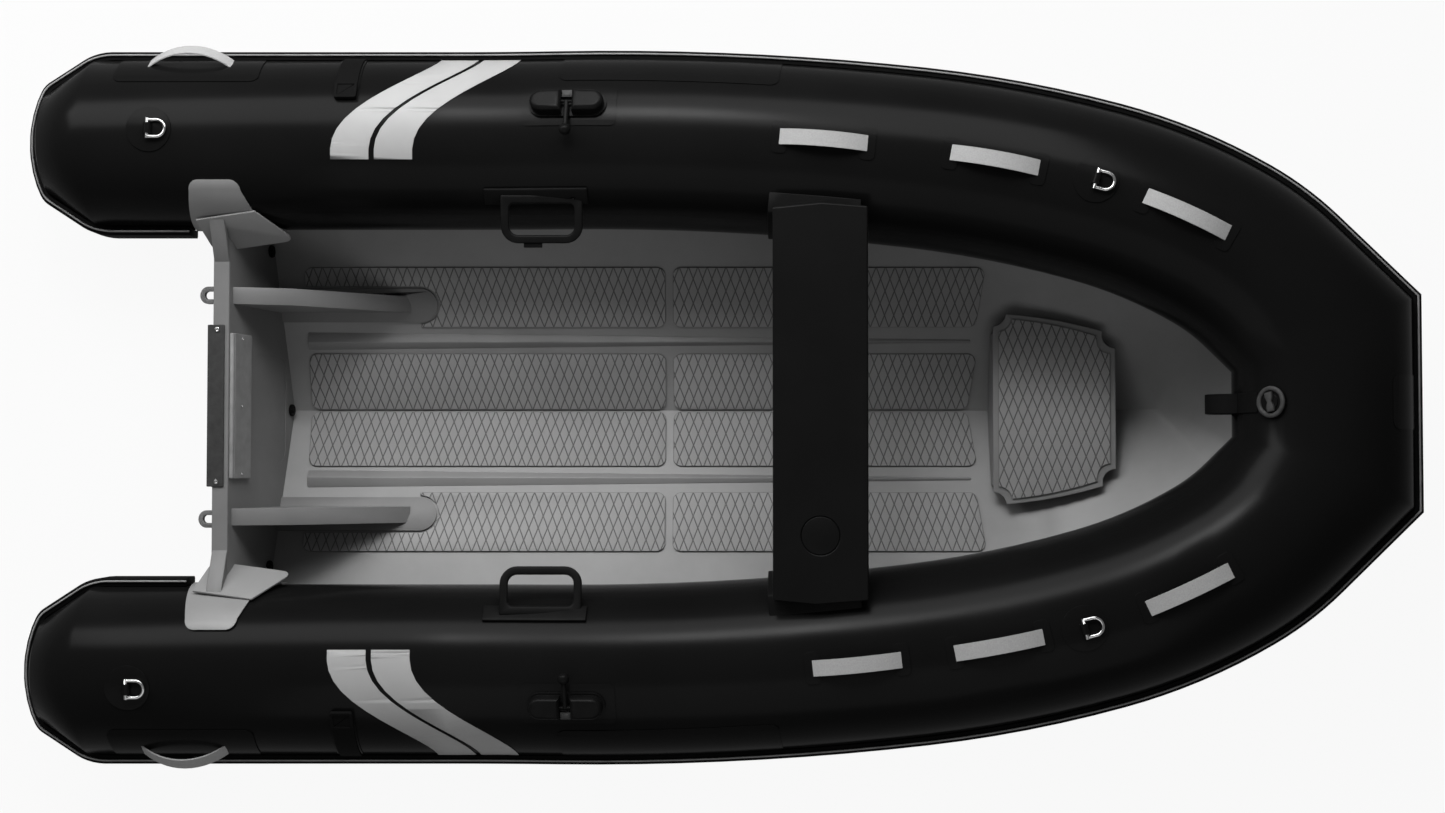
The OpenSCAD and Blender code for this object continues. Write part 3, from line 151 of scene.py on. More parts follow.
def set_free(piece):
    """Cuts a copy loose from its original's body and notes."""
    piece.parent = None
    for key in list(piece.keys()):
        del piece[key]


def stand_for(piece, *names):
    """Lets a piece ride on its nodes' body and stand for them."""
    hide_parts(*names)
    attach(piece, body_of_node[names[0]])
    return piece


def copy_node(name, title, flat=NEARLY_FLAT):
    """Copies a CAD node into a welded piece of its own."""
    pick(nodes[name])
    bpy.ops.object.duplicate()
    piece = bpy.context.active_object
    set_free(piece)
    piece.name = piece.data.name = title
    piece.data.materials.clear()
    weld(piece, flat=flat)
    return stand_for(piece, name)


def bevel(piece, width, segments=2, degrees=30):
    """Rounds the sharp edges of a piece."""
    return apply_modifier(
        piece, "BEVEL", width=width, segments=segments, limit_method="ANGLE",
        angle_limit=math.radians(degrees), harden_normals=False, use_clamp_overlap=True,
    )


print("bodies:", sorted(set(body_of_node.values())))

# %% [markdown]
# ## Finishes
# Each finish is a Principled shader fed by a few procedural textures on Object coordinates, in metres, so
# a noise scale of 400 means grains of a few millimetres. What is the same all over is set on the shader
# itself; what varies, such as colour, roughness and bump, is linked.

# %% Finish helpers
class Finish:
    """A Principled material and a few short ways to wire textures into it."""

    def __init__(self, name, colour, roughness, metallic=0.0, specular=0.5):
        self.material = bpy.data.materials.new(name)
        self.material.use_nodes = True
        self.tree = self.material.node_tree
        self.shader = self.tree.nodes["Principled BSDF"]
        self.shader.inputs["Base Color"].default_value = (*colour, 1)
        self.shader.inputs["Roughness"].default_value = roughness
        self.shader.inputs["Metallic"].default_value = metallic
        self.shader.inputs["Specular IOR Level"].default_value = specular
        self.material.diffuse_color = (*colour, 1)
        self.place = self.tree.nodes.new("ShaderNodeTexCoord").outputs["Object"]

    def add(self, kind, **values):
        """A node with its settings and the values of its sockets."""
        made = self.tree.nodes.new(kind)
        for key, value in values.items():
            if hasattr(made, key):
                setattr(made, key, value)
            else:
                made.inputs[key.replace("_", " ")].default_value = value
        return made

    def link(self, a, b):
        self.tree.links.new(a, b)

    def stretched(self, scale):
        """Object coordinates, stretched."""
        mapping = self.add("ShaderNodeMapping", Scale=scale)
        self.link(self.place, mapping.inputs["Vector"])
        return mapping.outputs["Vector"]

    def noise(self, scale, detail=2.0, rough=0.5, vector=None):
        made = self.add("ShaderNodeTexNoise", Scale=scale, Detail=detail, Roughness=rough)
        self.link(vector or self.place, made.inputs["Vector"])
        return made.outputs["Fac"]

    def ramp(self, fac, stops):
        made = self.add("ShaderNodeValToRGB")
        first, last = made.color_ramp.elements
        first.position, first.color = stops[0][0], (*stops[0][1], 1)
        last.position, last.color = stops[-1][0], (*stops[-1][1], 1)
        for position, colour in stops[1:-1]:
            made.color_ramp.elements.new(position).color = (*colour, 1)
        self.link(fac, made.inputs["Fac"])
        return made.outputs["Color"]

    def spread(self, fac, low, high, start=0.0, end=1.0):
        """A value taken from one range to another."""
        made = self.add("ShaderNodeMapRange")
        for key, value in (("From Min", start), ("From Max", end), ("To Min", low), ("To Max", high)):
            made.inputs[key].default_value = value
        self.link(fac, made.inputs["Value"])
        return made.outputs["Result"]

    def math(self, operation, *values):
        """A math node fed with numbers or with sockets."""
        made = self.add("ShaderNodeMath", operation=operation)
        for socket, value in zip(made.inputs, values):
            if isinstance(value, (int, float)):
                socket.default_value = value
            else:
                self.link(value, socket)
        return made.outputs["Value"]

    def tint(self, fac, dark, light, start=0.3, end=0.7):
        """Colour that drifts between two shades."""
        self.link(self.ramp(fac, [(start, dark), (end, light)]), self.shader.inputs["Base Color"])

    def gloss(self, fac, low, high):
        self.link(self.spread(fac, low, high), self.shader.inputs["Roughness"])

    def bump(self, height, strength, distance):
        """One more layer of bump over those already there."""
        made = self.add("ShaderNodeBump", Strength=strength, Distance=distance)
        self.link(height, made.inputs["Height"])
        last = self.shader.inputs["Normal"]
        if last.links:
            self.link(last.links[0].from_socket, made.inputs["Normal"])
        self.link(made.outputs["Normal"], last)

    def paint(self, *pieces):
        for piece in pieces:
            piece.data.materials.clear()
            piece.data.materials.append(self.material)


def shade(value):
    """A grey from its written value, 0 to 1 in display terms, as linear light."""
    linear = ((value + 0.055) / 1.055) ** 2.4 if value > 0.04045 else value / 12.92
    return (linear, linear, linear)


print("a written grey of 0.5 is", round(shade(0.5)[0], 3), "in linear light")

# %% [markdown]
# ### Coated tube fabric
# The tubes are woven cloth coated with black synthetic rubber. From a step away the coat is satin, with
# a faint weave of about a millimetre and slow changes in gloss where hands have rubbed it.

# %% Tube fabric
tube_fabric = Finish("tube_fabric", shade(0.068), 0.22, specular=0.056)
tube_fabric.tint(tube_fabric.noise(2.6, 3), shade(0.06), shade(0.072))
tube_fabric.gloss(tube_fabric.noise(5.5, 4, 0.6), 0.18, 0.26)
weave = tube_fabric.add("ShaderNodeTexVoronoi", Scale=900.0)
tube_fabric.link(tube_fabric.place, weave.inputs["Vector"])
tube_fabric.bump(weave.outputs["Distance"], 0.05, 0.0004)
print("made", tube_fabric.material.name)

# %% [markdown]
# ### Rub rail and bead
# The rail is extruded black rubber, duller than the tubes, with scuffs along its face. The bead on its
# upper edge is the same rubber dyed light grey.

# %% Rail rubber and bead rubber
def moulded(name, grey, roughness, specular, mottle, greys, grain, sheen=None):
    """A drifting grey with a fine grain and, where it is given, a drifting gloss."""
    made = Finish(name, shade(grey), roughness, specular=specular)
    made.tint(made.noise(*mottle), *map(shade, greys))
    if sheen:
        scale, detail, low, high = sheen
        made.gloss(made.noise(scale, detail), low, high)
    scale, strength, depth = grain
    made.bump(made.noise(scale, 2), strength, depth)
    return made


rail_rubber = Finish("rail_rubber", shade(0.045), 0.6, specular=0.06)
scuff = rail_rubber.noise(38, 5, 0.65, rail_rubber.stretched((0.25, 0.25, 3)))
rail_rubber.tint(scuff, shade(0.04), shade(0.06), 0.45, 0.75)
rail_rubber.gloss(scuff, 0.48, 0.66)
rail_rubber.bump(rail_rubber.noise(520, 2), 0.08, 0.0005)
bead_rubber = moulded("bead_rubber", 0.53, 0.5, 0.15, (30, 4), (0.49, 0.57), (420, 0.06, 0.0004))
print("made", rail_rubber.material.name, "and", bead_rubber.material.name)

# %% [markdown]
# ### Hull paint
# The aluminium is powder coated in a mid grey. Powder coat has a very fine orange peel and a satin gloss.
# Water and feet leave slow, cloudy changes in tone. The transom, its knees and eyes take a darker,
# less glossy copy of the same coat: this is painted shade, as the real paint is one grey.

# %% Hull paint and its copy with painted shade
def powder_coat(name, tone, gloss):
    print("made", name)
    return moulded(
        name, tone, 0.42, gloss, (4.2, 5, 0.6), (tone - 0.025, tone + 0.02),
        (650, 0.06, 0.0003), (9, 4, 0.36, 0.5),
    )


hull_paint = powder_coat("hull_paint", 0.53, 0.45)
# A copy of the hull's coat, darker and less glossy: painted shade on the stern's pieces.
stern_paint = powder_coat("stern_paint", 0.44, 0.3)

# %% [markdown]
# ### Deck pads
# The pads are closed-cell foam, routed with a lattice of shallow grooves. The lattice is two sets of
# parallel lines: the sum and the difference of the scaled X and Y coordinates, each folded with a
# triangle wave. A diamond is 24.5 mm by 62 mm. The grooves are sunk with a bump, and their darker
# colour is painted shade.

# %% Deck foam with routed diamonds
DIAMOND = (0.0245, 0.062)


def routed_foam(name, light, dark, groove_width=0.075):
    foam = Finish(name, shade(light), 0.72, specular=0.3)
    split = foam.add("ShaderNodeSeparateXYZ")
    foam.link(foam.place, split.inputs["Vector"])
    along = foam.math("DIVIDE", split.outputs["X"], DIAMOND[0])
    across = foam.math("DIVIDE", split.outputs["Y"], DIAMOND[1])
    lines = []
    for way in ("ADD", "SUBTRACT"):
        slant = foam.math(way, along, across)
        lines.append(foam.math("ABSOLUTE", foam.math("SUBTRACT", foam.math("FRACT", slant), 0.5)))
    nearest = foam.math("MINIMUM", *lines)
    # The groove profile both sinks the bump and darkens the colour: the darker grooves are painted shade.
    groove_relief_and_shade = foam.spread(nearest, 0.0, 1.0, groove_width * 0.35, groove_width)
    speckle = foam.noise(900, 3, 0.6)
    tone = foam.math("MULTIPLY", groove_relief_and_shade, foam.spread(speckle, 0.86, 1.0, 0.3, 0.7))
    foam.tint(tone, shade(dark), shade(light), 0.0, 1.0)
    foam.bump(groove_relief_and_shade, 0.9, 0.0012)
    foam.bump(speckle, 0.12, 0.0004)
    return foam


# 0.37 is the grey of the grooves, which is painted shade.
deck_foam = routed_foam("deck_foam", 0.60, 0.37)
# The cut sides are the same foam in a darker grey, which is painted shade.
pad_side_painted_shade = Finish("pad_edge_foam", shade(0.44), 0.75, specular=0.3)
pad_side_painted_shade.tint(pad_side_painted_shade.noise(700, 3, 0.6), shade(0.40), shade(0.47))
pad_side_painted_shade.bump(pad_side_painted_shade.noise(900, 3, 0.6), 0.1, 0.0004)
print("made", deck_foam.material.name, "with diamonds of", DIAMOND)

# %% [markdown]
# ### Moulded plastic, webbing and steel
# The bench, rowlocks and handles are moulded black plastic with a fine spark-eroded grain. The straps are
# light grey polyester webbing with ribs along their length. The tow rings are polished stainless wire.

# %% Moulded plastics
bench_plastic = moulded(
    "bench_plastic", 0.06, 0.3, 0.05, (6, 4), (0.066, 0.076), (700, 0.08, 0.0004), (14, 4, 0.26, 0.34)
)
fitting_plastic = moulded(
    "fitting_plastic", 0.066, 0.26, 0.045, (40, 4), (0.062, 0.08), (1300, 0.08, 0.0002), (60, 3, 0.2, 0.32)
)
handle_rubber = moulded("handle_rubber", 0.062, 0.42, 0.06, (24, 4), (0.058, 0.075), (900, 0.1, 0.0003))
clip_plastic = moulded("clip_plastic", 0.22, 0.55, 0.2, (80, 4), (0.2, 0.25), (1200, 0.1, 0.0002))
pad_plastic = moulded(
    "engine_pad_plastic", 0.19, 0.62, 0.2, (60, 5, 0.65), (0.175, 0.22), (800, 0.15, 0.0004)
)
clamp_plastic = moulded("clamp_plate_plastic", 0.50, 0.5, 0.4, (30, 4), (0.47, 0.53), (900, 0.08, 0.0003))
print("made five plastics and a rubber")

# %% Webbing, stripe fabric and steel
def ribbed(name, grey, specular, greys, direction, ribs):
    """Webbing with ribs that repeat along one direction."""
    made = Finish(name, shade(grey), 0.75, specular=specular)
    made.tint(made.noise(300, 4, 0.6), *map(shade, greys))
    rib = made.add("ShaderNodeTexWave", wave_type="BANDS", bands_direction=direction, Scale=ribs)
    made.link(made.place, rib.inputs["Vector"])
    made.bump(rib.outputs["Fac"], 0.25, 0.0004)
    return made


webbing = ribbed("webbing_grey", 0.62, 0.15, (0.59, 0.65), "Y", 160)
black_webbing = ribbed("webbing_black", 0.05, 0.06, (0.04, 0.062), "X", 150)
stripe_fabric = moulded(
    "stripe_fabric", 0.63, 0.45, 0.14, (5, 4), (0.61, 0.65), (850, 0.06, 0.0003), (12, 3, 0.36, 0.48)
)
stainless = Finish("stainless_wire", shade(0.86), 0.16, metallic=1.0)
stainless.gloss(stainless.noise(160, 4), 0.1, 0.24)
stainless.tint(stainless.noise(90, 3), shade(0.82), shade(0.9))
print("made webbing, stripe fabric and steel")

# %% [markdown]
# ## Air tubes
# Inside, baffles part the collar into three chambers, and the solids show them. Outside, one skin runs
# round the whole boat. Three skins side by side would break the line of light where they meet, so the
# end walls are deleted, the copies joined and their rims welded. Only the shading is smoothed: faces that
# meet at a shallow angle blend, and the mitres of the bow and the cone seams stay.

# %% Air tubes
BAFFLE_ZONE = (0.3, 0.9)


def baffle(face):
    """An end wall between two chambers."""
    return abs(face.normal.x) > 0.9 and BAFFLE_ZONE[0] < face.calc_center_median().x < BAFFLE_ZONE[1]


tubes = []
for name in ("tube_port", "tube_stbd", "tube_bow"):
    tube = copy_node(name, name + "_skin", flat=0)
    edit(tube)
    choose(tube, "faces", baffle)
    bpy.ops.mesh.delete(type="FACE")
    leave()
    tubes.append(tube)
collar = tubes[2]
pick(collar)
for tube in tubes:
    tube.select_set(True)
bpy.ops.object.join()
collar.name = collar.data.name = "tube_collar_skin"
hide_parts("tube_port", "tube_stbd")
weld(collar, 0.0008, 0)
smooth(collar, 25)
tube_fabric.paint(collar)
edit(collar, "EDGE")
open_edges = choose(collar, "edges", lambda e: e.is_boundary)
leave()
print("collar faces", len(collar.data.polygons), "open edges", open_edges)

# %% [markdown]
# ## Rub rail
# A rail is pushed round the stern in one length, so it bends softly where the cone starts and where it
# ends. The solid has a hard mitre there. Its triangles are turned into quads first, because a bevel runs
# cleanly along the ring of a mitre only when no diagonal meets it. Then the whole stern, tube and rail
# alike, is drawn in a little towards the cone's seam, since fabric under air is rounder than a cone.

# %% Rub rail and bead
CONE_SEAM = -1.527
CONE_TIP = -1.655
STERN_DRAW = 0.88
TUBE_Y, TUBE_Z = 0.653, 0.235  # middle line of an after tube
TIP_HALF_WIDTH = 0.122


def at_shoulder(edge):
    """On the mitre where the cone starts."""
    return all(abs(v.co.x - CONE_SEAM) < 0.008 for v in edge.verts)


def at_cone_tip(edge):
    """On the mitres at the two corners of the cone's end."""
    return all(v.co.x < CONE_TIP and abs(abs(v.co.y) - TUBE_Y) > TIP_HALF_WIDTH for v in edge.verts)


def bend_strip(name, fine, finish):
    """Copies a strip, rounds its mitres at the stern and softens its edges."""
    strip = copy_node(name, name + "_extrusion", flat=0)
    edit(strip)
    bpy.ops.mesh.select_all(action="SELECT")
    bpy.ops.mesh.tris_convert_to_quads()
    leave()
    for mitre, width, steps in ((at_shoulder, 0.038, 5), (at_cone_tip, 0.015, 3)):
        edit(strip, "EDGE")
        rings = choose(strip, "edges", mitre)
        bpy.ops.mesh.bevel(offset=width, segments=steps, affect="EDGES", clamp_overlap=True)
        leave()
        print(name, "mitre edges", rings)
    bevel(strip, fine, 2, 40)
    smooth(strip, 40)
    finish.paint(strip)
    return strip


rail = bend_strip("rub_rail", 0.003, rail_rubber)
bead = bend_strip("rail_bead", 0.0015, bead_rubber)
for piece in (collar, rail, bead):
    edit(piece, "VERT")
    choose(piece, "verts", lambda v: v.co.x < CONE_SEAM - 0.0001)
    bpy.ops.transform.resize(value=(STERN_DRAW, 1, 1), center_override=(CONE_SEAM, 0, 0))
    leave()
print("rail and bead", len(rail.data.polygons), len(bead.data.polygons))

# %% [markdown]
# ## Hull and transom
# Sheet metal has small radii where it is folded and where edges are ground. Two to three millimetres of
# bevel catch the light along every edge. The bottom stays smooth over its many stations.

# %% Hull, transom and what is welded to them
for name, width in (
    ("hull", 0.0), ("keel_guard", 0.003), ("transom", 0.003), ("stringers", 0.002),
    ("bow_step", 0.0015), ("knee_port", 0.003), ("knee_stbd", 0.003),
    ("stern_eye_port", 0.0012), ("stern_eye_stbd", 0.0012), ("wing_port", 0.001), ("wing_stbd", 0.001),
):
    plate = copy_node(name, name + "_metal", flat=0 if name == "hull" else NEARLY_FLAT)
    if width:
        bevel(plate, width, 2, 35)
    smooth(plate, 22 if name == "hull" else 35)
    # The transom, knees and eyes take the darker copy of the coat, which is painted shade.
    dark = name.startswith(("transom", "knee", "stern_eye"))
    (stern_paint if dark else hull_paint).paint(plate)
print("painted the metal pieces")

# %% [markdown]
# ## Deck pads
# A pad is a slab of foam with rounded corners, cut from a routed sheet, so its grooves run out to the
# edge. The upper edge gets a small bevel, which keeps the slab from looking knife-sharp. Then the top
# faces take the routed finish and the cut sides a plain, darker one; their darkness is painted shade.

# %% Deck pads
def dress_pad(name):
    pad = copy_node(name, name + "_foam")
    bevel(pad, 0.0012, 2, 50)
    pad.data.materials.append(pad_side_painted_shade.material)
    pad.data.materials.append(deck_foam.material)
    edit(pad)
    choose(pad, "faces", lambda f: f.normal.z > 0.9)
    bpy.context.object.active_material_index = 1
    bpy.ops.object.material_slot_assign()
    leave()
    return smooth(pad, 30)


pads = [dress_pad(name) for name in sorted(nodes) if name.startswith("mat_") or name == "bow_step_mat"]
print(len(pads), "pads")

# %% [markdown]
# ## Bench, saddles and small black fittings
# The bench is a hollow moulding with soft edges. The cap is flush in a round seat, so a thin ring gap is
# all that shows of it.

# %% Bench and saddles
def even_normals(piece):
    """Lets the large faces set the shading, so that a bevel doesn't cloud them."""
    apply_modifier(piece, "WEIGHTED_NORMAL", keep_sharp=True)


bench = copy_node("seat", "bench")
bevel(bench, 0.005, 3, 35)
smooth(bench, 60)
even_normals(bench)
bench_plastic.paint(bench)
cap = copy_node("seat_cap", "bench_cap")
bevel(cap, 0.002, 2, 35)
smooth(cap, 35)
bench_plastic.paint(cap)
for name in ("seat_saddle_port", "seat_saddle_stbd"):
    saddle = copy_node(name, name + "_rubber")
    bevel(saddle, 0.002, 2, 35)
    smooth(saddle, 35)
    handle_rubber.paint(saddle)
print("bench", len(bench.data.polygons))

# %% Small fittings
for name, width, finish in (
    ("rowlock_pin_port", 0.0008, fitting_plastic), ("rowlock_pin_stbd", 0.0008, fitting_plastic),
    ("engine_pad_outer", 0.002, pad_plastic), ("engine_pad_inner", 0.002, clamp_plastic),
    ("ring_patches", 0.0006, tube_fabric), ("stripes", 0.0, stripe_fabric),
    ("ring_stern_port", 0.0, stainless), ("ring_stern_stbd", 0.0, stainless),
    ("ring_bow_port", 0.0, stainless), ("ring_bow_stbd", 0.0, stainless),
    ("grab_straps", 0.0006, webbing), ("stern_handles", 0.0006, webbing),
    ("oar_straps", 0.0008, black_webbing), ("bow_valve", 0.0015, fitting_plastic),
    ("bow_strap", 0.0008, black_webbing), ("drain_fittings", 0.0015, fitting_plastic),
):
    piece = copy_node(name, name + "_dressed", flat=NEARLY_FLAT if width else 0)
    if width:
        bevel(piece, width, 2, 40)
    smooth(piece, 40)
    if width:
        even_normals(piece)
    finish.paint(piece)
print("dressed the small fittings")

# %% [markdown]
# ## Glued patches with round corners
# A patch is cut from tube fabric, and its corners are rounded so that they do not peel. In the solids the
# corners are square. A corner is a short edge, as long as the fabric is thick, so it is easy to find by its
# length. Beveling just those edges rounds the patch in plan and leaves its faces alone.

# %% Patches
PATCH_EDGE = 0.0025
OVAL_RADIUS = 0.043
ROWLOCK_X, ROWLOCK_REACH = -0.345, 0.15
UPPER_TUBE, OUTER_TUBE = 0.40, 0.775


def turn_at(edge):
    """A sharp edge between two faces."""
    return len(edge.link_faces) == 2 and edge.calc_face_angle() > math.radians(60)


def patch_corner(edge):
    return turn_at(edge) and edge.calc_length() < PATCH_EDGE


def under_rowlock(edge):
    spot = edge.verts[0].co
    near = abs(spot.x - ROWLOCK_X) < ROWLOCK_REACH
    return near and spot.z > UPPER_TUBE and abs(spot.y) < OUTER_TUBE


for name, radius in (("tube_patches", 0.022), ("strap_patches", 0.012)):
    patch = copy_node(name, name + "_glued")
    edit(patch, "EDGE")
    oval = choose(patch, "edges", lambda e: patch_corner(e) and under_rowlock(e))
    if oval:
        bpy.ops.mesh.bevel(offset=OVAL_RADIUS, segments=9, affect="EDGES", clamp_overlap=True)
    count = choose(patch, "edges", lambda e: patch_corner(e) and not under_rowlock(e))
    bpy.ops.mesh.bevel(offset=radius, segments=5, affect="EDGES", clamp_overlap=True)
    leave()
    bevel(patch, 0.0005, 1, 50)
    smooth(patch, 40)
    even_normals(patch)
    tube_fabric.paint(patch)
    print(name, "has", oval, "wide and", count, "small round corners")

# %% [markdown]
# ## Rowlocks
# The blocks of a rowlock are moulded with a full, soft top, so that an oar slides off them. The rim of
# each block's top face gets a wide bevel of its own, and the rest of the moulding a fine one. The hinge
# line and the folded pin give a frame for each rowlock: along the hinge, outboard and up.

# %% Rowlock blocks
def axes(origin, along, up):
    """A frame from its origin, its X direction and roughly its Z direction."""
    along = Vector(along).normalized()
    across = Vector(up).cross(along).normalized()
    turn = Matrix((along, across, along.cross(across))).transposed().to_4x4()
    return Matrix.Translation(origin) @ turn


def spots(name):
    """The points of a CAD node."""
    return [nodes[name].matrix_world @ v.co for v in nodes[name].data.vertices]


SIDES = (("port", 1), ("stbd", -1))
hinges = {j["name"]: j for j in frame["joints"]}
rowlock_frames = {}
for side, _ in SIDES:
    hinge = hinges["rowlock_fold_" + side]
    origin = Vector(hinge["pos_m"])
    along = Vector(hinge["axis"]).normalized()
    tip = max(spots("rowlock_pin_" + side), key=lambda p: (p - origin).length)
    inboard = (tip - origin) - along * (tip - origin).dot(along)
    up = along.cross(inboard)
    up *= 1 if up.z > 0 else -1
    local = axes(origin, along, up)
    rowlock_frames[side] = local
    moulding = copy_node("rowlock_" + side, "rowlock_" + side + "_moulding")
    to_local = local.inverted()
    top = max((to_local @ v.co).z for v in moulding.data.vertices)
    edit(moulding, "EDGE")
    rims = choose(
        moulding, "edges",
        lambda e: turn_at(e) and all((to_local @ v.co).z > top - 0.001 for v in e.verts),
    )
    bpy.ops.mesh.bevel(offset=0.016, segments=6, affect="EDGES", clamp_overlap=True)
    leave()
    bevel(moulding, 0.0012, 2, 40)
    smooth(moulding, 40)
    even_normals(moulding)
    fitting_plastic.paint(moulding)
    print("rowlock", side, "rim edges", rims)

# %% [markdown]
# ## Pieces made from scratch
# The rest is too small for the solids: the clip that holds the folded oar pin, the buckle on the oar
# strap, screws, the lip of the clamp plate and the grip of the valve. Each is modelled once round the
# world's origin, where it is easy to think about, and then carried to its place and applied, so that its
# object ends unturned at the origin.

# %% Carrying helpers
def carry(piece, matrix):
    """Moves a piece to its place and applies the move to its mesh."""
    pick(piece)
    piece.matrix_world = matrix @ piece.matrix_world
    bpy.ops.object.transform_apply(location=True, rotation=True, scale=True)
    return piece


def twin(piece, title):
    """A copy with a mesh of its own."""
    pick(piece)
    bpy.ops.object.duplicate()
    copy = bpy.context.active_object
    copy.name = copy.data.name = title
    return copy


def join_in(piece, body, finish):
    """Paints a new piece and lets it ride on a body."""
    finish.paint(piece)
    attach(piece, body)


def named(title):
    """The primitive that was just added, under its own name."""
    piece = bpy.context.active_object
    piece.name = piece.data.name = title
    return piece


def block(title, size, centre=(0, 0, 0)):
    """A cube of a given size, applied, to work on."""
    bpy.ops.object.select_all(action="DESELECT")
    bpy.ops.mesh.primitive_cube_add(size=1, location=centre, scale=size)
    piece = named(title)
    bpy.ops.object.transform_apply(location=True, rotation=True, scale=True)
    return piece


# %% Clip in the slot of a rowlock
def step_top(piece, margin, height):
    """Insets the top face and raises or sinks the inner part."""
    edit(piece)
    choose(piece, "faces", lambda f: f.normal.z > 0.9)
    bpy.ops.mesh.inset(thickness=margin)
    bpy.ops.mesh.extrude_region_move(TRANSFORM_OT_translate={"value": (0, 0, height)})
    leave()


clip = block("rowlock_clip", (0.0245, 0.018, 0.0135), (0, 0.0205, -0.005))
step_top(clip, 0.003, 0.0022)
bevel(clip, 0.0016, 2, 40)
smooth(clip, 40)
for side, way in SIDES:
    local = rowlock_frames[side]
    outboard = 1 if local.col[1].y * way > 0 else -1
    seated = carry(twin(clip, "rowlock_clip_" + side), local @ Matrix.Diagonal((outboard, outboard, 1, 1)))
    join_in(seated, "boat", clip_plastic)
bpy.data.objects.remove(clip)
print("clips sit outboard of the hinge")

# %% Buckle on the oar strap
buckle = block("oar_buckle", (0.054, 0.047, 0.009))
edit(buckle, "EDGE")
choose(buckle, "edges", lambda e: abs(e.verts[0].co.z - e.verts[1].co.z) > 0.005)
bpy.ops.mesh.bevel(offset=0.006, segments=4, affect="EDGES")
leave()
step_top(buckle, 0.007, -0.0025)
bevel(buckle, 0.0015, 2, 40)
smooth(buckle, 40)
BUCKLE_LEAN = math.radians(28.5)
BUCKLE_RADIUS = 0.2175  # from the tube's middle line
for side, way in SIDES:
    strap = [p for p in spots("oar_straps") if p.y * way > 0]
    middle = (min(p.x for p in strap) + max(p.x for p in strap)) / 2
    up = Vector((0, way * math.sin(BUCKLE_LEAN), math.cos(BUCKLE_LEAN)))
    spot = Vector((middle, way * TUBE_Y, TUBE_Z)) + up * BUCKLE_RADIUS
    placed = carry(twin(buckle, "oar_buckle_" + side), axes(spot, (1, 0, 0), up))
    join_in(placed, "boat", black_webbing)
bpy.data.objects.remove(buckle)
print("buckles at x", round(middle, 3))

# %% [markdown]
# ### Grab handles
# A grab handle is one rubber moulding: a strip glued to the tube and a flat loop that stands off it. The
# solid has a plain round bar. Here its strip is kept, and the bar gives way to a flat loop round the same
# line. A block is inset on both faces, and bridging the two inset faces opens the hole.

# %% Flat loop of a grab handle
def stands_up(edge):
    return abs(edge.verts[0].co.z - edge.verts[1].co.z) > 0.01


loop = block("grab_loop", (0.199, 0.118, 0.0145), (0, -0.050, 0))
edit(loop, "EDGE")
choose(loop, "edges", lambda e: stands_up(e) and e.verts[0].co.y < -0.1)
bpy.ops.mesh.bevel(offset=0.042, segments=8, affect="EDGES")
leave()
edit(loop)
choose(loop, "faces", lambda f: abs(f.normal.z) > 0.9)
bpy.ops.mesh.inset(thickness=0.020, use_individual=True)
bpy.ops.mesh.bridge_edge_loops()
leave()
edit(loop, "EDGE")
choose(loop, "edges", lambda e: stands_up(e) and abs(e.verts[0].co.x) < 0.09 and e.verts[0].co.y > -0.02)
bpy.ops.mesh.bevel(offset=0.016, segments=6, affect="EDGES")
leave()
bevel(loop, 0.0045, 3, 40)
print("loop faces", len(loop.data.polygons))

# %% Handles on the tubes
GRAB_TURN = math.radians(44)  # inboard of the tube's top
STRIP_RADIUS, BAR_RADIUS = 0.2215, 0.232  # from the tube's middle line
STRIP_THICKNESS = 0.0087


def off_skin(spot):
    """How far a point lies from the skin of the tubes."""
    return (collar.closest_point_on_mesh(spot)[1] - spot).length


def from_middle_line(spot):
    """How far a point lies from the middle line of its tube."""
    return math.hypot(abs(spot.y) - TUBE_Y, spot.z - TUBE_Z)


for side, way in SIDES:
    node_name = "grab_handle_" + side
    bars = [p for p in spots(node_name) if from_middle_line(p) > BAR_RADIUS]
    middle = (min(p.x for p in bars) + max(p.x for p in bars)) / 2
    far = max(map(from_middle_line, bars))
    ends = [p for p in bars if from_middle_line(p) > far - 0.012]
    bar = sum(ends, Vector()) / len(ends)
    bar.x = middle
    root_y = TUBE_Y - math.sin(GRAB_TURN) * STRIP_RADIUS
    root = Vector((middle, way * root_y, TUBE_Z + math.cos(GRAB_TURN) * STRIP_RADIUS))
    out = (bar - root).normalized()
    handle = copy_node(node_name, node_name + "_moulded")
    edit(handle)
    choose(handle, "faces", lambda f: any(off_skin(v.co) > STRIP_THICKNESS for v in f.verts))
    bpy.ops.mesh.delete(type="FACE")
    bpy.ops.mesh.select_all(action="SELECT")
    bpy.ops.mesh.fill_holes(sides=0)
    leave()
    bevel(handle, 0.002, 2, 40)
    seat_on_tube = axes(root, (-way, 0, 0), Vector((-way, 0, 0)).cross(-out))
    placed = carry(twin(loop, "grab_loop_" + side), seat_on_tube)
    extras = [placed]
    if side == "port":
        tab = bevel(block("grab_tab", (0.045, 0.022, 0.006), (0.022, -0.1085, 0)), 0.0015, 2, 40)
        extras.append(carry(tab, seat_on_tube))
    pick(placed)
    for extra in extras + [handle]:
        extra.select_set(True)
    bpy.context.view_layer.objects.active = handle
    bpy.ops.object.join()
    smooth(handle, 50)
    handle_rubber.paint(handle)
    print(node_name, "stands", round((bar - root).length, 3), "m off its strip")
bpy.data.objects.remove(loop)

# %% [markdown]
# ### Engine pads
# Two screws hold the outer pad and three smaller ones the clamp plate inside. A screw starts as a cylinder,
# and its top is inset and sunk, as a driver needs it. The plate's upper edge is rolled into a lip. Here that
# is a rod with rounded ends laid along the edge, since a bevel could only take material away.

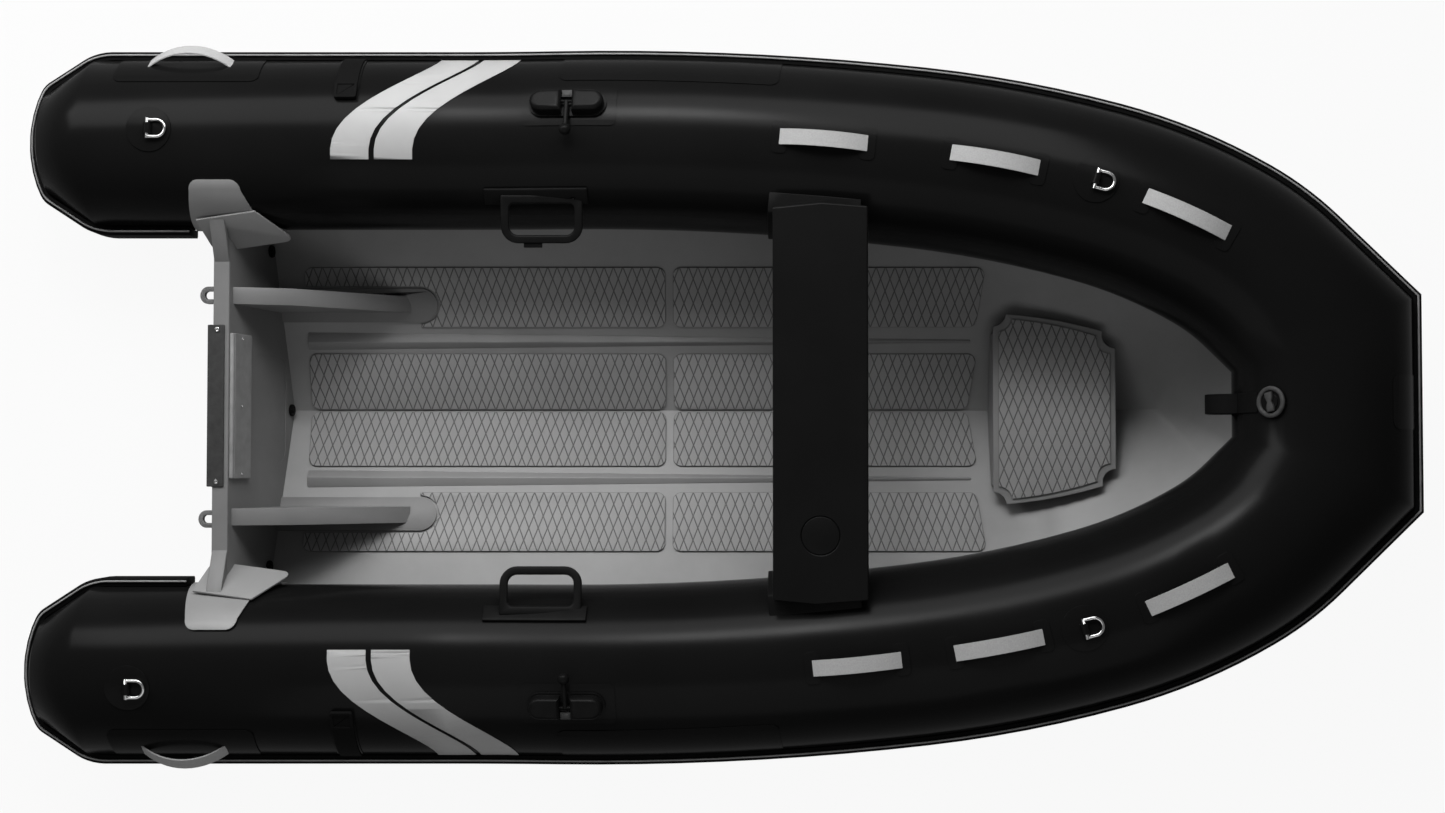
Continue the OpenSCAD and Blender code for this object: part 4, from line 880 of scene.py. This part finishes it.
# %% Screws of the engine pads
bpy.ops.object.select_all(action="DESELECT")
bpy.ops.mesh.primitive_cylinder_add(vertices=24, radius=0.0056, depth=0.005)
screw = named("pad_screw")
step_top(screw, 0.0028, -0.0012)
bevel(screw, 0.0009, 2, 40)
smooth(screw, 40)
rake = math.radians(11.5)
forward = Vector((math.cos(rake), 0, math.sin(rake)))
raked_up = Vector((-math.sin(rake), 0, math.cos(rake)))
crest = Vector((-1.193, 0, 0.285))
PLATE_SCREW = 0.62  # size of a plate's screw against a pad's
places = [axes(Vector((-1.2207, y, 0.2905)), (1, 0, 0), (0, 0, 1)) for y in (0.188, -0.188)]
for y in (0.168, 0.0, -0.168):
    on_plate = crest + raked_up * -0.05 + forward * 0.0125 + Vector((0, y, 0))
    places.append(axes(on_plate, (0, 1, 0), forward) @ Matrix.Scale(PLATE_SCREW, 4))
for number, matrix in enumerate(places):
    plate = "engine_pad_outer" if number < 2 else "engine_pad_inner"
    join_in(carry(twin(screw, "pad_screw_%d" % (number + 1)), matrix), "boat", stainless)
bpy.data.objects.remove(screw)
print(len(places), "screws")

# %% Lip of the clamp plate
bpy.ops.object.select_all(action="DESELECT")
bpy.ops.mesh.primitive_cylinder_add(vertices=24, radius=0.006, depth=0.36, rotation=(math.pi / 2, 0, 0))
lip = named("clamp_lip")
bpy.ops.object.transform_apply(location=True, rotation=True, scale=True)
bevel(lip, 0.003, 4, 60)
smooth(lip, 40)
carry(lip, axes(crest + raked_up * -0.0065 + forward * 0.0062, forward, raked_up))
join_in(lip, "boat", clamp_plastic)
print("lip along the clamp plate")

# %% [markdown]
# ### Valve
# A boat valve has a round rim let into the fabric and a cap with a wing to turn it by. The rim starts as a
# torus, pressed flatter. The wing starts as a block that is cut into four, drawn in at its waist and
# softened.

# %% Valve rim and wing
valve = bpy.data.objects["bow_valve_dressed"]
crown = max((f for f in valve.data.polygons if f.normal.z > 0.4), key=lambda f: f.area)
valve_up = Vector(crown.normal)
valve_spots = spots("bow_valve")
valve_middle = sum(valve_spots, Vector()) / len(valve_spots)
valve_top = max(p.dot(valve_up) for p in valve_spots)
valve_middle += valve_up * (valve_top - valve_middle.dot(valve_up))
valve_frame = axes(valve_middle, (0, 1, 0), valve_up)
bpy.ops.object.select_all(action="DESELECT")
bpy.ops.mesh.primitive_torus_add(
    major_radius=0.0318, minor_radius=0.0058, major_segments=56, minor_segments=14
)
rim = named("valve_rim")
edit(rim, "VERT")
bpy.ops.mesh.select_all(action="SELECT")
bpy.ops.transform.resize(value=(1, 1, 0.8))
leave()
smooth(rim, 60)
carry(rim, valve_frame @ Matrix.Translation((0, 0, -0.0015)))
join_in(rim, "boat", clip_plastic)
wing = block("valve_wing", (0.046, 0.019, 0.009), (0, 0, 0.003))
edit(wing, "EDGE")
choose(wing, "edges", lambda e: abs(e.verts[0].co.x - e.verts[1].co.x) > 0.01)
bpy.ops.mesh.subdivide(number_cuts=3)
choose(wing, "verts", lambda v: abs(v.co.x) < 0.001)
bpy.ops.transform.resize(value=(1, 0.55, 1), center_override=(0, 0, 0))
leave()
bevel(wing, 0.0022, 3, 40)
smooth(wing, 60)
carry(wing, valve_frame @ Matrix.Rotation(math.radians(10), 4, "Z"))
join_in(wing, "boat", clip_plastic)
print("valve faces", [round(c, 2) for c in valve_up])

# %% [markdown]
# ## Web under a wing
# A wing grips the tube and is folded down to the transom's corner, so under the fold it is a flat web that
# leaves the tube. A block as thick as the sheet is cut along its slanted front with bisect, and its
# two lower corners are rounded with a bevel. The same web serves both sides: it is drawn in the plane of
# its fold, with X along the fold and Y down.

# %% Web under a wing
def cut_off(spot, outward):
    """Cuts the open piece along a plane, closes the cut and drops what lies outward of it."""
    bpy.ops.mesh.select_all(action="SELECT")
    bpy.ops.mesh.bisect(plane_co=spot, plane_no=outward, use_fill=True, clear_outer=True)


web = block("wing_web", (0.215, 0.127, 0.005), (0.0985, 0.0635, 0))
edit(web)
cut_off((0.1417, 0, 0), (0.9036, -0.4285, 0))
leave()
edit(web, "EDGE")
choose(web, "edges", lambda e: abs(e.verts[0].co.z - e.verts[1].co.z) > 0.004 and e.verts[0].co.y > 0.12)
bpy.ops.mesh.bevel(offset=0.028, segments=6, affect="EDGES")
leave()
bevel(web, 0.001, 2, 40)
smooth(web, 35)


def fold_of(way):
    """The after end of a wing's fold, the line along the fold and the line down to the heel."""
    fold = Vector((-1.2548, way * 0.4555, 0.3405))
    fold_end = Vector((-1.116, way * 0.4731, 0.359))
    heel = Vector((-1.240, way * 0.3872, 0.234))
    return fold, fold_end - fold, heel - fold


for side, way in SIDES:
    fold, fold_line, heel_line = fold_of(way)
    seated = carry(twin(web, "wing_web_" + side), axes(fold, fold_line, fold_line.cross(heel_line)))
    join_in(seated, "boat", hull_paint)
bpy.data.objects.remove(web)
print("webs under the wings")

# %% [markdown]
# ## Raised corners of the transom
# The transom's top edge sweeps up at both ends to the fold of the wings. The sheet itself keeps the place
# that the frame gives it, so a block a little thinner than the sheet stands upright on each end. One cut
# slants its top from the level edge up to the fold, and a second follows the web that it is welded to.

# %% Raised corners
SWEEP_START, SWEEP_END = Vector((0, 0.355, 0.2845)), Vector((0, 0.4612, 0.346))
HALF_SHEET = 0.0196
corner = block("transom_corner", (0.12, 0.038, 0.079))
rise = SWEEP_END - SWEEP_START
for side, way in SIDES:
    middle = crest + forward * -HALF_SHEET + Vector((0, way * 0.415, 0.0355))
    raised = carry(twin(corner, "transom_corner_" + side), axes(middle, (0, way, 0), (0, 0, 1)))
    fold, fold_line, heel_line = fold_of(way)
    cuts = [((0, way * SWEEP_START.y, SWEEP_START.z), (0, -way * rise.z, rise.y)),
            (fold, fold_line.cross(heel_line).normalized() * way)]
    edit(raised)
    for on_cut, outward in cuts:
        cut_off(on_cut, outward)
    leave()
    bevel(raised, 0.003, 2, 40)
    smooth(raised, 35)
    # The corners take the darker copy of the coat too: painted shade.
    join_in(raised, "boat", stern_paint)
bpy.data.objects.remove(corner)
print("raised corners of the transom")

# %% [markdown]
# ## Towing eyes
# An eye is a plate with a hole that stands out from the transom, far enough for a shackle to pass. The
# half of its ring that lies beyond the middle of the hole is drawn out along the plate. That makes the
# hole a short slot, which still holds a pin at the place that the record gives for it.

# %% Eyes drawn out
EYE_REACH = 0.026
pin_places = {mount["name"]: Vector(mount["pos_m"]) for mount in frame["record"]["mounts"]}
for side, _ in SIDES:
    eye = bpy.data.objects["stern_eye_" + side + "_metal"]
    pin = pin_places["stern_eye_" + side]
    edit(eye, "VERT")
    moved = choose(eye, "verts", lambda v: (v.co - pin).dot(forward) < -0.0005)
    bpy.ops.transform.translate(value=-forward * EYE_REACH)
    leave()
    smooth(eye, 35)
    print("eye", side, "ring points", moved)

# %% [markdown]
# ## Stern handles
# A carrying handle is slack webbing, so it bows out further than its solid. Each side is stretched away
# from the line between its two ends.

# %% Stern handles bowed out
HANDLE_ENDS_Y, HANDLE_BOW = 0.838, 1.3
stern_grips = bpy.data.objects["stern_handles_dressed"]
for _, way in SIDES:
    edit(stern_grips, "VERT")
    bowed = choose(stern_grips, "verts", lambda v: v.co.y * way > 0)
    bpy.ops.transform.resize(value=(1, HANDLE_BOW, 1), center_override=(0, way * HANDLE_ENDS_Y, 0))
    leave()
print("handle points", bowed)

# %% [markdown]
# ## Pressed panel of the transom
# A shallow panel is pressed into the transom's front under the clamp plate, which stiffens the sheet. A
# block with its four long edges rounded is sunk two millimetres into the sheet and cut away from it.

# %% Pressed panel
press = block("press_tool", (0.02, 0.274, 0.205))
edit(press, "EDGE")
choose(press, "edges", lambda e: abs(e.verts[0].co.x - e.verts[1].co.x) > 0.01)
bpy.ops.mesh.bevel(offset=0.035, segments=8, affect="EDGES")
leave()
carry(press, axes(crest + raked_up * -0.243 + forward * 0.008, forward, raked_up))
sheet = bpy.data.objects["transom_metal"]
apply_modifier(sheet, "BOOLEAN", operation="DIFFERENCE", object=press, solver="EXACT")
bpy.data.objects.remove(press)
smooth(sheet, 35)
even_normals(sheet)
print("transom faces", len(sheet.data.polygons))

# %% [markdown]
# ## Floor
# The boat floats, so the pale floor lies at the waterline, with an opening where the hull passes through.
# The opening is cut with the convex hull of the metal pieces. The background is white in the picture, so
# the floor glows for the camera, less so in reflections, and only a small share of it takes light and
# shadow.

# %% Floor at the waterline
GLOW_SHARE, MIRROR_DIMMING = 0.93, 0.8
bpy.ops.object.select_all(action="DESELECT")
bpy.ops.mesh.primitive_plane_add(size=60, location=(0, 0, 0))
floor = bpy.context.active_object
floor.name = "floor"
bpy.ops.object.select_all(action="DESELECT")
for name in ("transom_metal", "keel_guard_metal", "hull_metal"):
    bpy.data.objects[name].select_set(True)
    bpy.context.view_layer.objects.active = bpy.data.objects[name]
bpy.ops.object.duplicate()
bpy.ops.object.join()
plug = bpy.context.active_object
set_free(plug)
plug.name = "floor_plug"
edit(plug, "VERT")
bpy.ops.mesh.select_all(action="SELECT")
bpy.ops.mesh.convex_hull()
leave()
apply_modifier(floor, "SOLIDIFY", thickness=0.02, offset=-1)
apply_modifier(floor, "BOOLEAN", operation="DIFFERENCE", object=plug, solver="EXACT")
bpy.data.objects.remove(plug)
floor_white = Finish("floor_white", shade(0.72), 0.9, specular=0.1)
rays = floor_white.add("ShaderNodeLightPath").outputs
mirrored = floor_white.math("MAXIMUM", rays["Is Glossy Ray"], rays["Is Transmission Ray"])
seen = floor_white.math("MAXIMUM", rays["Is Camera Ray"], mirrored)
glow = floor_white.add("ShaderNodeEmission", Color=(1, 1, 1, 1))
floor_white.link(floor_white.math("MULTIPLY_ADD", mirrored, -MIRROR_DIMMING, 1.0), glow.inputs["Strength"])
blend = floor_white.add("ShaderNodeMixShader")
floor_white.link(floor_white.math("MULTIPLY", seen, GLOW_SHARE), blend.inputs["Fac"])
floor_white.link(floor_white.shader.outputs[0], blend.inputs[1])
floor_white.link(glow.outputs[0], blend.inputs[2])
floor_white.link(blend.outputs[0], floor_white.tree.nodes["Material Output"].inputs["Surface"])
floor_white.paint(floor)
print("floor faces", len(floor.data.polygons))

# %% [markdown]
# ## Light and background
# A long soft lamp hangs on the port side. It leaves the port bottom panel in shade, lights the starboard
# one and draws a broad soft line along the tubes. A small lamp further off on the same side casts firmer
# shadows, and a weak, wide one to starboard lightens them. The world adds a low even light, and only the
# camera sees it white.

# %% World and lamps
WORLD_LIGHT = 0.145
world = bpy.data.worlds.new("studio")
bpy.context.scene.world = world
world.use_nodes = True
sky = world.node_tree
background = sky.nodes["Background"]
background.inputs["Color"].default_value = (1, 1, 1, 1)
sky_rays = sky.nodes.new("ShaderNodeLightPath")
level = sky.nodes.new("ShaderNodeMapRange")
level.inputs["To Min"].default_value = WORLD_LIGHT
level.inputs["To Max"].default_value = 1.0
sky.links.new(sky_rays.outputs["Is Camera Ray"], level.inputs["Value"])
sky.links.new(level.outputs["Result"], background.inputs["Strength"])


def soft_lamp(name, place, aim, size, power):
    """A rectangular lamp that faces a point."""
    lamp_data = bpy.data.lights.new(name, "AREA")
    lamp_data.shape = "RECTANGLE"
    lamp_data.size, lamp_data.size_y = size
    lamp_data.energy = power
    lamp = bpy.data.objects.new(name, lamp_data)
    bpy.context.scene.collection.objects.link(lamp)
    lamp.location = place
    lamp.rotation_euler = (Vector(aim) - Vector(place)).to_track_quat("-Z", "Y").to_euler()


soft_lamp("port_lamp", (-2.0, 2.32, 2.25), (-2.0, 0, 0.3), (6.8, 1.8), 192)
soft_lamp("far_lamp", (-0.9, 3.4, 4.1), (0, 0, 0.2), (0.9, 0.9), 55)
soft_lamp("fill_lamp", (-0.1, -2.5, 2.6), (0, 0, 0.3), (4.6, 2.4), 22)
print("three soft lamps")

# %% Update the view layer
bpy.context.view_layer.update()
